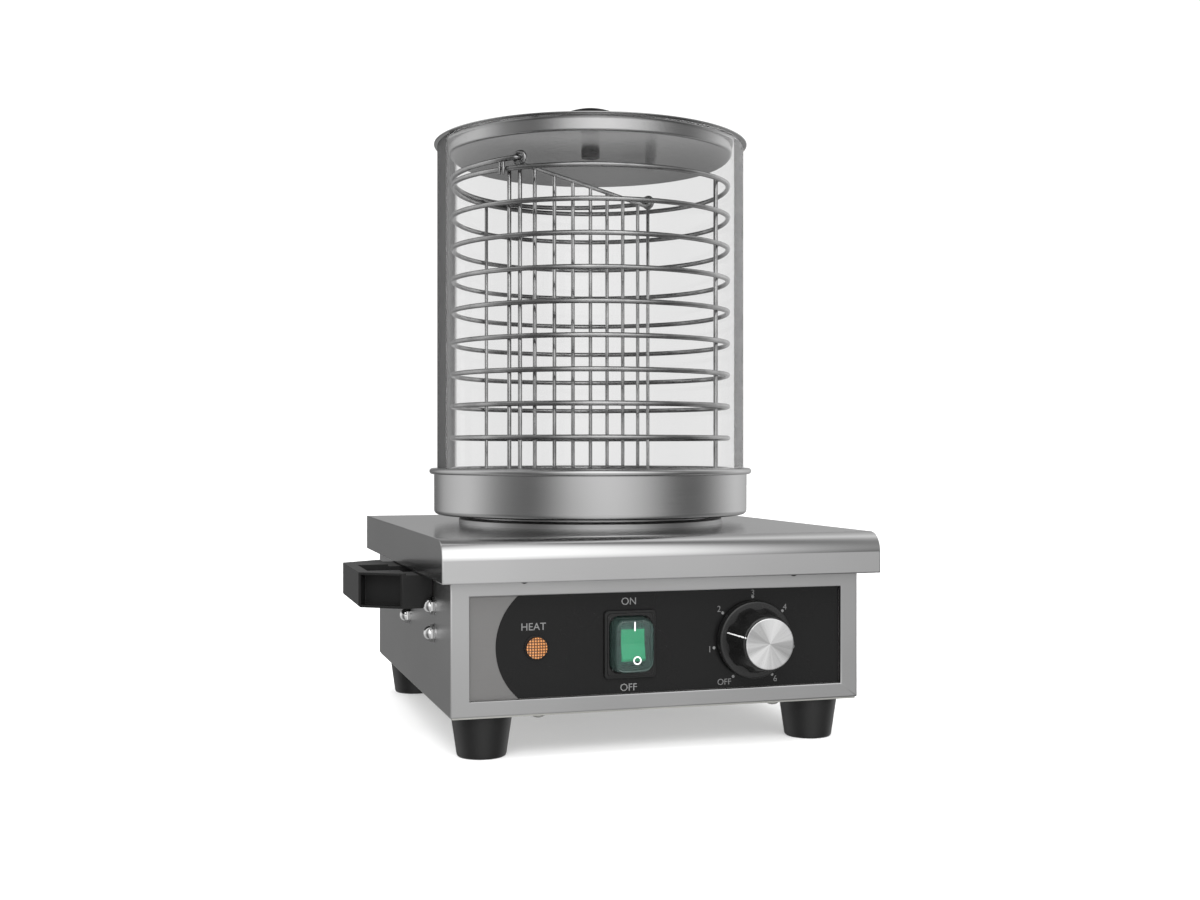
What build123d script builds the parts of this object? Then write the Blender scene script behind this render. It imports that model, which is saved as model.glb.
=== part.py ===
from build123d import *
import os
from math import asin, cos, pi, radians, sin, sqrt

os.makedirs("parts", exist_ok=True)

# Hot dog steamer. A sheet-metal base cabinet carries a round hot plate. On the plate
# stand a water pan, a glass cylinder, a wire basket parted by a divider, and a lid.
# Millimetres, +Z up, front at -Y, origin on the table under the middle of the object.

# Base cabinet: folded wrapper, bottom plate and overhanging cover
sheet = 1.0
foot_height = 24.1
bottom_sheet = 1.0
body_width = 241.4
body_front = -131.8
body_depth = 265.6
body_height = 95.8
bottom_flange = 12.0
cover_sheet = 1.2
cover_side_gap = 7.35
cover_front_overhang = 15.0
cover_rear_overhang = 13.0
cover_skirt = 23.5
cover_roll = 11.0
gland_inset = 45.7
gland_rise = 25.0

# Front opening and what is set in it
opening_width = 220.2
opening_height = 56.6
opening_rise = 8.4
control_drop = 0.7
panel_setback = 3.0
panel_sheet = 1.5
panel_lap_x = 7.0
panel_lap_z = 4.5
film = 0.4
film_margin = 0.2
film_arc_left = -95.3
film_arc_corner = -82.6

# Lamp, switch and thermostat on the panel
lamp_x = -72.7
lamp_lens_r = 6.2
lamp_rim_r = 6.8
lamp_barrel_r = 5.4
lamp_depth = 20.0
switch_x = -18.8
frame_width = 30.1
frame_height = 38.0
frame_thick = 2.8
boot_width = 24.5
boot_height = 31.5
boot_front_width = 22.8
boot_front_height = 29.2
boot_reach = 10.7
boot_wall = 0.9
rocker_width = 13.6
rocker_half = 8.6
rocker_valley = 7.4
rocker_peak = 8.5
rocker_tilt = 7.0
pin_r = 1.5
dial_x = 55.7
shaft_r = 3.0
knob_gap = 1.0
skirt_r = 22.3
skirt_thick = 5.0
skirt_facets = 48
grip_base_r = 18.8
grip_top_r = 15.2
grip_front = 23.2
flute_count = 7
flute_r = 9.0
flute_facets = 18
flute_base = 17.2
flute_top = 14.95
pointer_angle = -75.0
cap_r = 14.4
cap_front = 25.1
running_fit = 0.05
seat_fit = 0.1
weld_gap = 0.02

# Side handles
handle_out = 40.3
handle_front = -78.5
handle_rear = 28.1
handle_shoulder_out = 17.3
handle_slope = 15.8
handle_low = 79.0
handle_thick = 20.2
grip_bar = 6.4
grip_opening_inset_front = 24.7
grip_opening_inset_rear = 38.1
pocket_depth = 6.0
pocket_margin = 1.4
skirt_clearance = 0.6
handle_bevel = 1.0

# Hot plate and what hangs below it
stack_inset = 123.14
plate_rim_r = 86.0
plate_rim_rise = 3.5
plate_top_r = 80.0
plate_top_rise = 5.9
plate_hub_r = 77.5
plate_hub_depth = 10.1
plate_facets = 48
element_ring_r = 50.0
element_half = 4.0
shield_gap = 10.5
shield_flange = 10.0
shield_depth = 27.0
shield_sheet = 0.8
clamp_thick = 1.5
clamp_nut = 5.0

# Water pan, glass, basket, bail and lid
pan_sheet = 0.8
pan_clearance = 2.1
pan_corner = 1.5
pan_height = 27.9
pan_bead = 1.9
bead_height = 3.5
bead_facets = 48
glass_clearance = 4.0
glass_wall = 6.0
glass_over_basket = 28.4
ring_count = 11
ring_facets = 36
ring_r = 90.0
ring_wire = 1.55
ring_pitch = 20.23
ring_lift = 7.9
upright_wire = 1.25
upright_angles = (-130.0, -40.6, 134.7)
divider_angle = 45.0
divider_margin = 19.5
divider_half_count = 3
rail_wire = 1.4
eye_r = 3.6
eye_inset = 2.5
eye_wire = 1.3
floor_margin = 13.0
floor_half_count = 4
floor_cross = 40.0
bail_wire = 1.6
bail_foot_out = 0.5
hook_inset = 7.5
lid_sheet = 0.8
lid_overhang = 2.15
lid_clearance = 0.8
lid_draft = 2.0
lid_dish = 8.8
lid_crown = 5.6
lid_crest_r = 9.0
lid_knob_r = 16.5
lid_knob_rise = 25.1
lid_knob_brim = 9.0

# Heights and depths that follow from the sizes above
body_bottom = foot_height + bottom_sheet
body_top = body_bottom + body_height
body_mid = body_front + body_depth / 2
body_rear = body_front + body_depth
cover_top = body_top + cover_sheet
cover_width = body_width + 2 * cover_side_gap
handle_reach = body_width / 2 + handle_out
handle_shoulder = body_width / 2 + handle_shoulder_out
cover_front = body_front - cover_front_overhang
cover_rear = body_rear + cover_rear_overhang
inner_width = body_width - 2 * sheet
inner_depth = body_depth - 2 * sheet
opening_z = body_bottom + opening_rise + opening_height / 2
panel_front = body_front + panel_setback
stack_y = body_rear - stack_inset
control_z = opening_z - control_drop
plate_top = cover_top + plate_top_rise
pan_floor = plate_top + pan_sheet
glass_r = ring_r + glass_clearance + glass_wall
pan_wall_r = glass_r + pan_clearance
lid_rim_r = glass_r + lid_overhang
lid_wall_top_r = glass_r - glass_wall - lid_clearance
lid_wall_low_r = lid_wall_top_r - lid_draft
eye_place = ring_r - eye_inset
divider_step = (ring_r - divider_margin) / divider_half_count
floor_pitch = (ring_r - floor_margin) / (floor_half_count - 0.5)
bail_reach = ring_r
bail_foot = ring_r + bail_foot_out
hook_reach = ring_r - hook_inset
basket_height = ring_lift + (ring_count - 1) * ring_pitch
glass_height = basket_height + glass_over_basket
glass_top = pan_floor + glass_height
ring_top = pan_floor + basket_height
stack_plane = Plane(origin=(0, stack_y, 0), x_dir=(1, 0, 0), z_dir=(0, -1, 0))
stack_axis = Axis((0, stack_y, 0), (0, 0, 1))


def panel_plane(x, out, z=control_z):
    """Plane parallel to the panel, set out in front of its face."""
    return Plane(origin=(x, panel_front - out, z), x_dir=(1, 0, 0), z_dir=(0, -1, 0))


def wire_half(wire):
    """Half the side of the square bar that has the area of a round wire."""
    return wire * sqrt(pi) / 2


# ---------------------------------------------------------------- base cabinet

with BuildPart() as body_shell:
    with BuildSketch(Plane.XY.offset(body_bottom)):
        with Locations((0, body_mid)):
            Rectangle(body_width, body_depth)
            Rectangle(inner_width, inner_depth, mode=Mode.SUBTRACT)
    extrude(amount=body_height)
    # flange turned in all round the foot of the walls
    with BuildSketch(Plane.XY.offset(body_bottom)):
        with Locations((0, body_mid)):
            Rectangle(body_width - sheet, body_depth - sheet)
            Rectangle(
                body_width - 2 * bottom_flange,
                body_depth - 2 * bottom_flange,
                mode=Mode.SUBTRACT,
            )
    extrude(amount=sheet)
    # front opening with its edges turned back to the panel
    with BuildSketch(Plane.XZ.offset(-body_front)):
        with Locations((0, opening_z)):
            Rectangle(opening_width + 2 * sheet, opening_height + 2 * sheet)
    extrude(amount=-panel_setback)
    with BuildSketch(Plane.XZ.offset(-body_front)):
        with Locations((0, opening_z)):
            Rectangle(opening_width, opening_height)
    extrude(amount=-panel_setback, mode=Mode.SUBTRACT)
    # cable hole in the rear wall
    gland_x = body_width / 2 - gland_inset
    gland_z = body_bottom + gland_rise
    gland_thread_r = 7.8
    with BuildSketch(Plane.XZ.offset(-body_rear)):
        with Locations((gland_x, gland_z)):
            Circle(gland_thread_r + seat_fit)
    extrude(amount=sheet, mode=Mode.SUBTRACT)
body_shell.part.label = "body_shell"
export_step(body_shell.part, "parts/body_shell.step")

vent_length = 34.0
vent_width = 4.0
vent_pitch = 14.0
vent_rows = 6
with BuildPart() as bottom_plate:
    with BuildSketch(Plane.XY.offset(foot_height)):
        with Locations((0, body_mid)):
            Rectangle(inner_width, inner_depth)
            with GridLocations(2 * vent_length, vent_pitch, 2, vent_rows):
                Rectangle(vent_length, vent_width, mode=Mode.SUBTRACT)
    extrude(amount=bottom_sheet)
bottom_plate.part.label = "bottom_plate"
export_step(bottom_plate.part, "parts/bottom_plate.step")

# Tapered rubber feet, bevelled where they meet the table
foot_top_r = 17.1
foot_base_r = 13.9
foot_bevel = 1.2
foot_collar = 1.0
foot_facets = 24
foot_inset_x = 21.6
foot_inset_front = 21.5
foot_inset_rear = 23.5
foot_x = body_width / 2 - foot_inset_x
for end_name, foot_y in (
    ("front", body_front + foot_inset_front),
    ("rear", body_rear - foot_inset_rear),
):
    for side_name, side in (("left", -1), ("right", 1)):
        with BuildPart() as foot:
            with BuildSketch(Plane(origin=(side * foot_x, foot_y, 0))):
                RegularPolygon(foot_top_r, foot_facets)
            extrude(amount=foot_height)
            base = foot.faces().sort_by(Axis.Z)[0]
            chamfer(
                base.edges(),
                length=foot_top_r - foot_base_r,
                length2=foot_height - foot_collar,
                reference=base,
            )
            chamfer(foot.faces().sort_by(Axis.Z)[0].edges(), length=foot_bevel)
        foot.part.label = f"foot_{end_name}_{side_name}"
        export_step(foot.part, f"parts/foot_{end_name}_{side_name}.step")

# Cover: one sheet rolled over at the front edge, its skirts closed at the corners
with BuildPart() as cover:
    with BuildSketch(Plane.YZ.offset(-cover_width / 2)):
        with BuildLine():
            Polyline(
                (cover_front, cover_top - cover_skirt),
                (cover_rear, cover_top - cover_skirt),
                (cover_rear, cover_top),
                (cover_front + cover_roll, cover_top),
            )
            TangentArc(
                (cover_front + cover_roll, cover_top),
                (cover_front, cover_top - cover_roll),
                tangent=(-1, 0),
            )
            Line(
                (cover_front, cover_top - cover_roll),
                (cover_front, cover_top - cover_skirt),
            )
        make_face()
    extrude(amount=cover_width)
    offset(amount=-cover_sheet, openings=cover.faces().sort_by(Axis.Z)[0])
    with BuildSketch(Plane.XY.offset(cover_top)):
        with Locations((0, stack_y)):
            Circle(plate_hub_r + 2 * seat_fit)
    extrude(amount=-2 * cover_sheet, mode=Mode.SUBTRACT)
cover.part.label = "cover"
export_step(cover.part, "parts/cover.step")

# Angle brackets welded under the cover, standing inside the front and rear walls
bracket_sheet = 1.5
bracket_width = 24.0
bracket_leg = 26.0
bracket_inset = 40.7
bracket_x = body_width / 2 - bracket_inset
for end_name, wall_y, inward in (
    ("front", body_front + sheet, 1),
    ("rear", body_rear - sheet, -1),
):
    for side_name, side in (("left", -1), ("right", 1)):
        with BuildPart() as bracket:
            with BuildSketch(Plane.YZ.offset(side * bracket_x - bracket_width / 2)):
                with BuildLine():
                    Polyline(
                        (wall_y, body_top),
                        (wall_y, body_top - bracket_leg),
                        (wall_y + inward * bracket_sheet, body_top - bracket_leg),
                        (wall_y + inward * bracket_sheet, body_top - bracket_sheet),
                        (wall_y + inward * bracket_leg / 2, body_top - bracket_sheet),
                        (wall_y + inward * bracket_leg / 2, body_top),
                        close=True,
                    )
                make_face()
            extrude(amount=bracket_width)
        bracket.part.label = f"cover_bracket_{end_name}_{side_name}"
        export_step(bracket.part, f"parts/cover_bracket_{end_name}_{side_name}.step")

# ---------------------------------------------------------------- front panel

switch_cut_width = 20.2
switch_cut_height = 27.2
bushing_r = 5.0
panel_width = opening_width + 2 * panel_lap_x
panel_height = opening_height + 2 * panel_lap_z

with BuildPart() as front_panel:
    with BuildSketch(panel_plane(0, 0, opening_z)):
        Rectangle(panel_width, panel_height)
        with Locations((lamp_x, control_z - opening_z)):
            Circle(lamp_barrel_r + seat_fit, mode=Mode.SUBTRACT)
        with Locations((switch_x, control_z - opening_z)):
            Rectangle(switch_cut_width, switch_cut_height, mode=Mode.SUBTRACT)
        with Locations((dial_x, control_z - opening_z)):
            Circle(bushing_r + seat_fit, mode=Mode.SUBTRACT)
    extrude(amount=-panel_sheet)
front_panel.part.label = "front_panel"
export_step(front_panel.part, "parts/front_panel.step")

# Printed film on the panel: its left edge is an arc, the bare panel shows beside it
film_half_height = opening_height / 2 - film_margin
film_right = opening_width / 2 - film_margin
with BuildPart() as panel_overlay:
    with BuildSketch(panel_plane(0, 0, opening_z)):
        with BuildLine():
            ThreePointArc(
                (film_arc_corner, film_half_height),
                (film_arc_left, 0),
                (film_arc_corner, -film_half_height),
            )
            Polyline(
                (film_arc_corner, -film_half_height),
                (film_right, -film_half_height),
                (film_right, film_half_height),
                (film_arc_corner, film_half_height),
            )
        make_face()
        with Locations((lamp_x, control_z - opening_z)):
            Circle(lamp_barrel_r + seat_fit, mode=Mode.SUBTRACT)
        with Locations((switch_x, control_z - opening_z)):
            Rectangle(switch_cut_width, switch_cut_height, mode=Mode.SUBTRACT)
        with Locations((dial_x, control_z - opening_z)):
            Circle(bushing_r + seat_fit, mode=Mode.SUBTRACT)
    extrude(amount=film)
panel_overlay.part.label = "panel_overlay"
export_step(panel_overlay.part, "parts/panel_overlay.step")

# Signal lamp: barrel with its nut behind the panel, lens with a rim in front
lamp_lens_reach = 3.2
lamp_rim_thick = 0.8
lens_facets = 32
lens_bevel = 0.6
with BuildPart() as lamp_lens:
    with BuildSketch(panel_plane(lamp_x, film)):
        RegularPolygon(lamp_rim_r, lens_facets)
    extrude(amount=lamp_rim_thick)
    with BuildSketch(panel_plane(lamp_x, film + lamp_rim_thick)):
        RegularPolygon(lamp_lens_r, lens_facets)
    extrude(amount=lamp_lens_reach - film - lamp_rim_thick)
    chamfer(lamp_lens.faces().sort_by(Axis.Y)[0].edges(), length=lens_bevel)
lamp_lens.part.label = "lamp_lens"
export_step(lamp_lens.part, "parts/lamp_lens.step")

lamp_nut_r = 8.0
lamp_nut_thick = 3.0
with BuildPart() as lamp_body:
    with BuildSketch(panel_plane(lamp_x, film)):
        RegularPolygon(lamp_barrel_r, lens_facets)
    extrude(amount=-film - panel_sheet - lamp_depth)
    with BuildSketch(panel_plane(lamp_x, -panel_sheet)):
        RegularPolygon(lamp_nut_r, 6)
    extrude(amount=-lamp_nut_thick)
lamp_body.part.label = "lamp_body"
export_step(lamp_body.part, "parts/lamp_body.step")

# Rocker switch. The housing drops through the panel from the front, and the rocker
# turns on a cross pin in its side walls, under a clear moulded boot in a frame.
housing_width = 20.0
housing_height = 27.0
housing_depth = 24.0
housing_flange = 2.0
flange_width = 22.0
flange_height = 29.0
rocker_play = 0.3
pivot_back = 3.5
pivot_out = film + housing_flange - pivot_back
rocker_sweep_r = sqrt(rocker_half**2 + rocker_peak**2)
sweep_gap = 0.15
cavity_half = rocker_sweep_r + sweep_gap
cavity_back = 6.0
with BuildPart() as switch_body:
    with BuildSketch(panel_plane(switch_x, film)):
        Rectangle(flange_width, flange_height)
    extrude(amount=housing_flange)
    with BuildSketch(panel_plane(switch_x, film)):
        Rectangle(housing_width, housing_height)
    extrude(amount=-housing_depth)
    with BuildSketch(panel_plane(switch_x, film + housing_flange)):
        Rectangle(rocker_width + 2 * rocker_play, 2 * cavity_half)
    extrude(amount=-pivot_back - cavity_back, mode=Mode.SUBTRACT)
    # pin holes in both side walls
    with BuildSketch(Plane.YZ.offset(switch_x - housing_width / 2)):
        with Locations((panel_front - pivot_out, control_z)):
            Circle(pin_r + running_fit)
    extrude(amount=housing_width, mode=Mode.SUBTRACT)
switch_body.part.label = "switch_body"
export_step(switch_body.part, "parts/switch_body.step")

blade_width = 6.3
blade_thick = 0.8
blade_length = 8.0
with BuildPart() as switch_tabs:
    with BuildSketch(panel_plane(switch_x, film - housing_depth)):
        with GridLocations(housing_width / 2, housing_height / 2, 2, 2):
            Rectangle(blade_thick, blade_width)
    extrude(amount=-blade_length)
switch_tabs.part.label = "switch_tabs"
export_step(switch_tabs.part, "parts/switch_tabs.step")

frame_corner = 3.0
frame_lip = 1.2
boot_flange = 0.8
boot_flange_width = frame_width - frame_lip
boot_flange_height = frame_height - frame_lip
with BuildPart() as boot_frame:
    with BuildSketch(panel_plane(switch_x, film)):
        RectangleRounded(frame_width, frame_height, frame_corner)
        Rectangle(boot_width + 2 * seat_fit, boot_height + 2 * seat_fit, mode=Mode.SUBTRACT)
    extrude(amount=frame_thick - film)
    with BuildSketch(panel_plane(switch_x, film)):
        Rectangle(boot_flange_width + seat_fit, boot_flange_height + seat_fit)
    extrude(amount=boot_flange, mode=Mode.SUBTRACT)
boot_frame.part.label = "boot_frame"
export_step(boot_frame.part, "parts/boot_frame.step")

# The boot is a hollow hood drawn in towards its front, its flange caught under the frame
boot_corner = 3.0
boot_foot = 1.0
with BuildPart() as switch_boot:
    with BuildSketch(panel_plane(switch_x, film)):
        Rectangle(boot_width, boot_height)
    extrude(amount=boot_reach - film)
    chamfer(switch_boot.edges().filter_by(Axis.Y), length=boot_corner)
    boot_face = switch_boot.faces().sort_by(Axis.Y)[0]
    chamfer(
        boot_face.edges(),
        length=(boot_width - boot_front_width) / 2,
        length2=boot_reach - film - boot_foot,
        reference=boot_face,
    )
    with BuildSketch(panel_plane(switch_x, film)):
        Rectangle(boot_flange_width, boot_flange_height)
    extrude(amount=boot_flange)
    # room for the switch's flange, then for the rocker
    with BuildSketch(panel_plane(switch_x, film)):
        Rectangle(flange_width + seat_fit, flange_height + seat_fit)
    extrude(amount=housing_flange, mode=Mode.SUBTRACT)
    with BuildSketch(panel_plane(switch_x, film)):
        Rectangle(boot_front_width - 2 * boot_corner, boot_front_height - 2 * boot_wall)
    extrude(amount=boot_reach - boot_wall - film, mode=Mode.SUBTRACT)
switch_boot.part.label = "switch_boot"
export_step(switch_boot.part, "parts/switch_boot.step")

# Rocker: a shallow V in front, ends that are arcs about the pin, tipped to its ON side
rocker_shoulder = 2.0
rocker_shoulder_half = sqrt(rocker_sweep_r**2 - rocker_shoulder**2)
rocker_heel = 3.0
pin_inset = 0.5
arc_mid_reach = (rocker_peak + rocker_shoulder) / 2
arc_mid_half = sqrt(rocker_sweep_r**2 - arc_mid_reach**2)
rocker_plane = Plane(
    origin=(switch_x - rocker_width / 2, panel_front - pivot_out, control_z),
    x_dir=(0, sin(radians(rocker_tilt)), cos(radians(rocker_tilt))),
    z_dir=(1, 0, 0),
)
with BuildPart() as rocker:
    with BuildSketch(rocker_plane):
        with BuildLine():
            Polyline((rocker_half, rocker_peak), (0, rocker_valley), (-rocker_half, rocker_peak))
            ThreePointArc(
                (-rocker_half, rocker_peak),
                (-arc_mid_half, arc_mid_reach),
                (-rocker_shoulder_half, rocker_shoulder),
            )
            Polyline(
                (-rocker_shoulder_half, rocker_shoulder),
                (-rocker_heel, -rocker_heel),
                (rocker_heel, -rocker_heel),
                (rocker_shoulder_half, rocker_shoulder),
            )
            ThreePointArc(
                (rocker_shoulder_half, rocker_shoulder),
                (arc_mid_half, arc_mid_reach),
                (rocker_half, rocker_peak),
            )
        make_face()
    extrude(amount=rocker_width)
    pin_reach = (housing_width - rocker_width) / 2 - pin_inset
    with BuildSketch(rocker_plane.offset(-pin_reach)):
        Circle(pin_r)
    extrude(amount=rocker_width + 2 * pin_reach)
rocker.part.label = "rocker"
export_step(rocker.part, "parts/rocker.step")

# Thermostat: a box behind the panel, its bushing through the panel
thermostat_width = 44.0
thermostat_height = 36.0
thermostat_depth = 28.0
thermostat_corner = 4.0
shaft_back = 18.0
bushing_front = 0.7
shaft_end_gap = 0.5
with BuildPart() as thermostat_body:
    with BuildSketch(panel_plane(dial_x, -panel_sheet)):
        Rectangle(thermostat_width, thermostat_height)
    extrude(amount=-thermostat_depth)
    chamfer(thermostat_body.edges().filter_by(Axis.Y), length=thermostat_corner)
    with BuildSketch(panel_plane(dial_x, -panel_sheet)):
        Circle(bushing_r)
    extrude(amount=panel_sheet + bushing_front)
    with BuildSketch(panel_plane(dial_x, bushing_front)):
        Circle(shaft_r + running_fit)
    extrude(amount=-bushing_front - shaft_back - shaft_end_gap, mode=Mode.SUBTRACT)
    with BuildSketch(panel_plane(dial_x, -panel_sheet - thermostat_depth)):
        with GridLocations(thermostat_width / 2, thermostat_height / 3, 2, 2):
            Rectangle(blade_width, blade_thick)
    extrude(amount=-blade_length)
thermostat_body.part.label = "thermostat_body"
export_step(thermostat_body.part, "parts/thermostat_body.step")

# D-section shaft: round in the bushing, flatted where the knob grips it
shaft_front = 18.8
shaft_flat = 2.2
flat_start = 4.0
with BuildPart() as thermostat_shaft:
    with BuildSketch(panel_plane(dial_x, -shaft_back)):
        Circle(shaft_r)
    extrude(amount=shaft_back + flat_start)
    with BuildSketch(panel_plane(dial_x, flat_start)):
        Circle(shaft_r)
        with Locations((0, shaft_flat + shaft_r)):
            Rectangle(2 * shaft_r, 2 * shaft_r, mode=Mode.SUBTRACT)
    extrude(amount=shaft_front - flat_start)
thermostat_shaft.part.label = "thermostat_shaft"
export_step(thermostat_shaft.part, "parts/thermostat_shaft.step")

# Control knob: skirt disc hollowed behind, and a tapered grip with slanted flutes
hollow_r = 18.0
hollow_depth = 3.0
hub_r = 6.0
knob_bore_front = 19.2
knob_bore_fit = 0.02
grip_land = 0.2
cap_recess = 1.2
skirt_front = knob_gap + skirt_thick
grip_length = grip_front - skirt_front
flute_lean = (flute_base - flute_top) / grip_length
with BuildPart() as knob_body:
    with BuildSketch(panel_plane(dial_x, skirt_front)):
        RegularPolygon(grip_base_r, 6 * flute_count, rotation=90 - pointer_angle)
    extrude(amount=grip_length)
    grip_face = knob_body.faces().sort_by(Axis.Y)[0]
    chamfer(
        grip_face.edges(),
        length=grip_base_r - grip_top_r,
        length2=grip_length - grip_land,
        reference=grip_face,
    )
    for flute in range(flute_count):
        angle = pointer_angle + (flute + 0.5) * 360 / flute_count
        outward = Vector(sin(radians(angle)), 0, cos(radians(angle)))
        flute_centre = outward * (flute_base + flute_r)
        flute_run = outward * -flute_lean - Vector(0, 1, 0)
        with BuildSketch(panel_plane(dial_x, skirt_front)):
            with Locations((flute_centre.X, flute_centre.Z)):
                RegularPolygon(flute_r, flute_facets, rotation=90 + 180 / flute_facets - angle)
        extrude(amount=grip_length * flute_run.length, dir=flute_run, mode=Mode.SUBTRACT)
    with BuildSketch(panel_plane(dial_x, knob_gap)):
        RegularPolygon(skirt_r, skirt_facets)
    extrude(amount=skirt_thick)
    # hollow back round the hub
    with BuildSketch(panel_plane(dial_x, knob_gap)):
        RegularPolygon(hollow_r, 36)
        RegularPolygon(hub_r, 12, mode=Mode.SUBTRACT)
    extrude(amount=hollow_depth, mode=Mode.SUBTRACT)
    with BuildSketch(panel_plane(dial_x, grip_front)):
        RegularPolygon(cap_r + seat_fit, skirt_facets)
    extrude(amount=-cap_recess, mode=Mode.SUBTRACT)
    # D-shaped bore for the shaft
    with BuildSketch(panel_plane(dial_x, 0)):
        Circle(shaft_r + knob_bore_fit)
        with Locations((0, shaft_flat + knob_bore_fit + shaft_r)):
            Rectangle(2.2 * shaft_r, 2 * shaft_r, mode=Mode.SUBTRACT)
    extrude(amount=knob_bore_front, mode=Mode.SUBTRACT)
    with BuildSketch(panel_plane(dial_x, 0)):
        Circle(shaft_r + knob_bore_fit)
    extrude(amount=flat_start, mode=Mode.SUBTRACT)
knob_body.part.label = "knob_body"
export_step(knob_body.part, "parts/knob_body.step")

with BuildPart() as knob_cap:
    with BuildSketch(panel_plane(dial_x, grip_front - cap_recess)):
        RegularPolygon(cap_r, skirt_facets)
    extrude(amount=cap_front - grip_front + cap_recess)
knob_cap.part.label = "knob_cap"
export_step(knob_cap.part, "parts/knob_cap.step")

# ---------------------------------------------------------------- side handles

# Moulded handles: a bar along the side between two pads, with a hollow in each sloped end
body_half = body_width / 2
slope_run = handle_reach - handle_shoulder
slope_length = sqrt(slope_run**2 + handle_slope**2)
opening_front = handle_front + grip_opening_inset_front
opening_rear = handle_rear - grip_opening_inset_rear
handle_middle = (handle_front + handle_rear) / 2


def turned_y(side, y):
    """The right-hand parts are the left-hand ones turned half round about the body."""
    return y if side < 0 else 2 * body_mid - y


for side_name, side in (("left", -1), ("right", 1)):
    with BuildPart() as handle:
        with BuildSketch(Plane.XY.offset(handle_low)):
            with BuildLine():
                Polyline(
                    (side * body_half, turned_y(side, handle_front)),
                    (side * handle_shoulder, turned_y(side, handle_front)),
                    (side * handle_reach, turned_y(side, handle_front + handle_slope)),
                    (side * handle_reach, turned_y(side, handle_rear - handle_slope)),
                    (side * handle_shoulder, turned_y(side, handle_rear)),
                    (side * body_half, turned_y(side, handle_rear)),
                    close=True,
                )
            make_face()
        extrude(amount=handle_thick)
        # upper edge of the bar and the pads, clear of the skirt above
        with BuildSketch(Plane.XY.offset(cover_top - cover_skirt - skirt_clearance)):
            with Locations((side * cover_width / 2, turned_y(side, handle_middle))):
                Rectangle(
                    2 * (cover_side_gap + skirt_clearance),
                    handle_rear - handle_front,
                )
        extrude(amount=handle_thick, mode=Mode.SUBTRACT)
        low_edges = handle.edges().group_by(Axis.Z)[0].filter_by(Axis.Y).sort_by(Axis.X)
        chamfer(low_edges[0 if side < 0 else -1], length=handle_bevel)
        # finger opening
        with BuildSketch(Plane.XY.offset(handle_low)):
            with Locations(
                (
                    side * (body_half + handle_reach - grip_bar) / 2,
                    turned_y(side, (opening_front + opening_rear) / 2),
                )
            ):
                Rectangle(handle_reach - grip_bar - body_half, opening_rear - opening_front)
        extrude(amount=handle_thick, mode=Mode.SUBTRACT)
        # hollows in the sloped ends
        for end_y, inward in ((handle_front, -side), (handle_rear, side)):
            slope_plane = Plane(
                origin=(
                    side * (handle_shoulder + handle_reach) / 2,
                    turned_y(side, end_y) + inward * handle_slope / 2,
                    handle_low + handle_thick / 2,
                ),
                x_dir=(side * slope_run, inward * handle_slope, 0),
                z_dir=(side * handle_slope, -inward * slope_run, 0),
            )
            with BuildSketch(slope_plane):
                Rectangle(slope_length - 2 * pocket_margin, handle_thick - 2 * pocket_margin)
            extrude(amount=-pocket_depth, mode=Mode.SUBTRACT)
    handle.part.label = f"handle_{side_name}"
    export_step(handle.part, f"parts/handle_{side_name}.step")

# Stiffening plates inside the side walls, behind the handles
stiffener_thick = 2.0
stiffener_height = 39.0
stiffener_front = -91.0
stiffener_length = 127.0
stiffener_middle = stiffener_front + stiffener_length / 2
for side_name, side in (("left", -1), ("right", 1)):
    stiffener_x = side * (inner_width / 2 - stiffener_thick / 2)
    stiffener_z = cover_top - cover_skirt - stiffener_height / 2
    with BuildPart() as handle_plate:
        with BuildSketch(Plane.YZ.offset(stiffener_x)):
            with Locations((turned_y(side, stiffener_middle), stiffener_z)):
                Rectangle(stiffener_length, stiffener_height)
        extrude(amount=stiffener_thick / 2, both=True)
    handle_plate.part.label = f"handle_plate_{side_name}"
    export_step(handle_plate.part, f"parts/handle_plate_{side_name}.step")

# ---------------------------------------------------------------- heating

# Cast hot plate: rim on the cover, hub through it, studs below
hub_bottom = cover_top - plate_hub_depth
stud_r = 2.0
stud_ring_r = 66.0
centre_stud_r = 3.0
stud_facets = 8
shield_nut = 3.2
shield_nut_r = 4.2
stud_end = 1.0
shield_floor = body_top - shield_depth
with BuildPart() as hot_plate:
    for step_r, low, high in (
        (plate_hub_r, hub_bottom, cover_top),
        (plate_rim_r, cover_top, cover_top + plate_rim_rise),
        (plate_top_r, cover_top + plate_rim_rise, plate_top),
    ):
        with BuildSketch(Plane.XY.offset(low)):
            with Locations((0, stack_y)):
                RegularPolygon(step_r, plate_facets)
        extrude(amount=high - low)
    with BuildSketch(Plane.XY.offset(hub_bottom)):
        with Locations((0, stack_y)):
            with PolarLocations(stud_ring_r, 3, start_angle=30):
                RegularPolygon(stud_r, stud_facets)
    extrude(amount=shield_floor - hub_bottom - shield_nut - shield_sheet)
    with BuildSketch(Plane.XY.offset(hub_bottom)):
        with Locations((0, stack_y)):
            RegularPolygon(centre_stud_r, stud_facets)
    extrude(amount=-2 * element_half - clamp_thick - clamp_nut - stud_end)
hot_plate.part.label = "hot_plate"
export_step(hot_plate.part, "parts/hot_plate.step")

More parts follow.
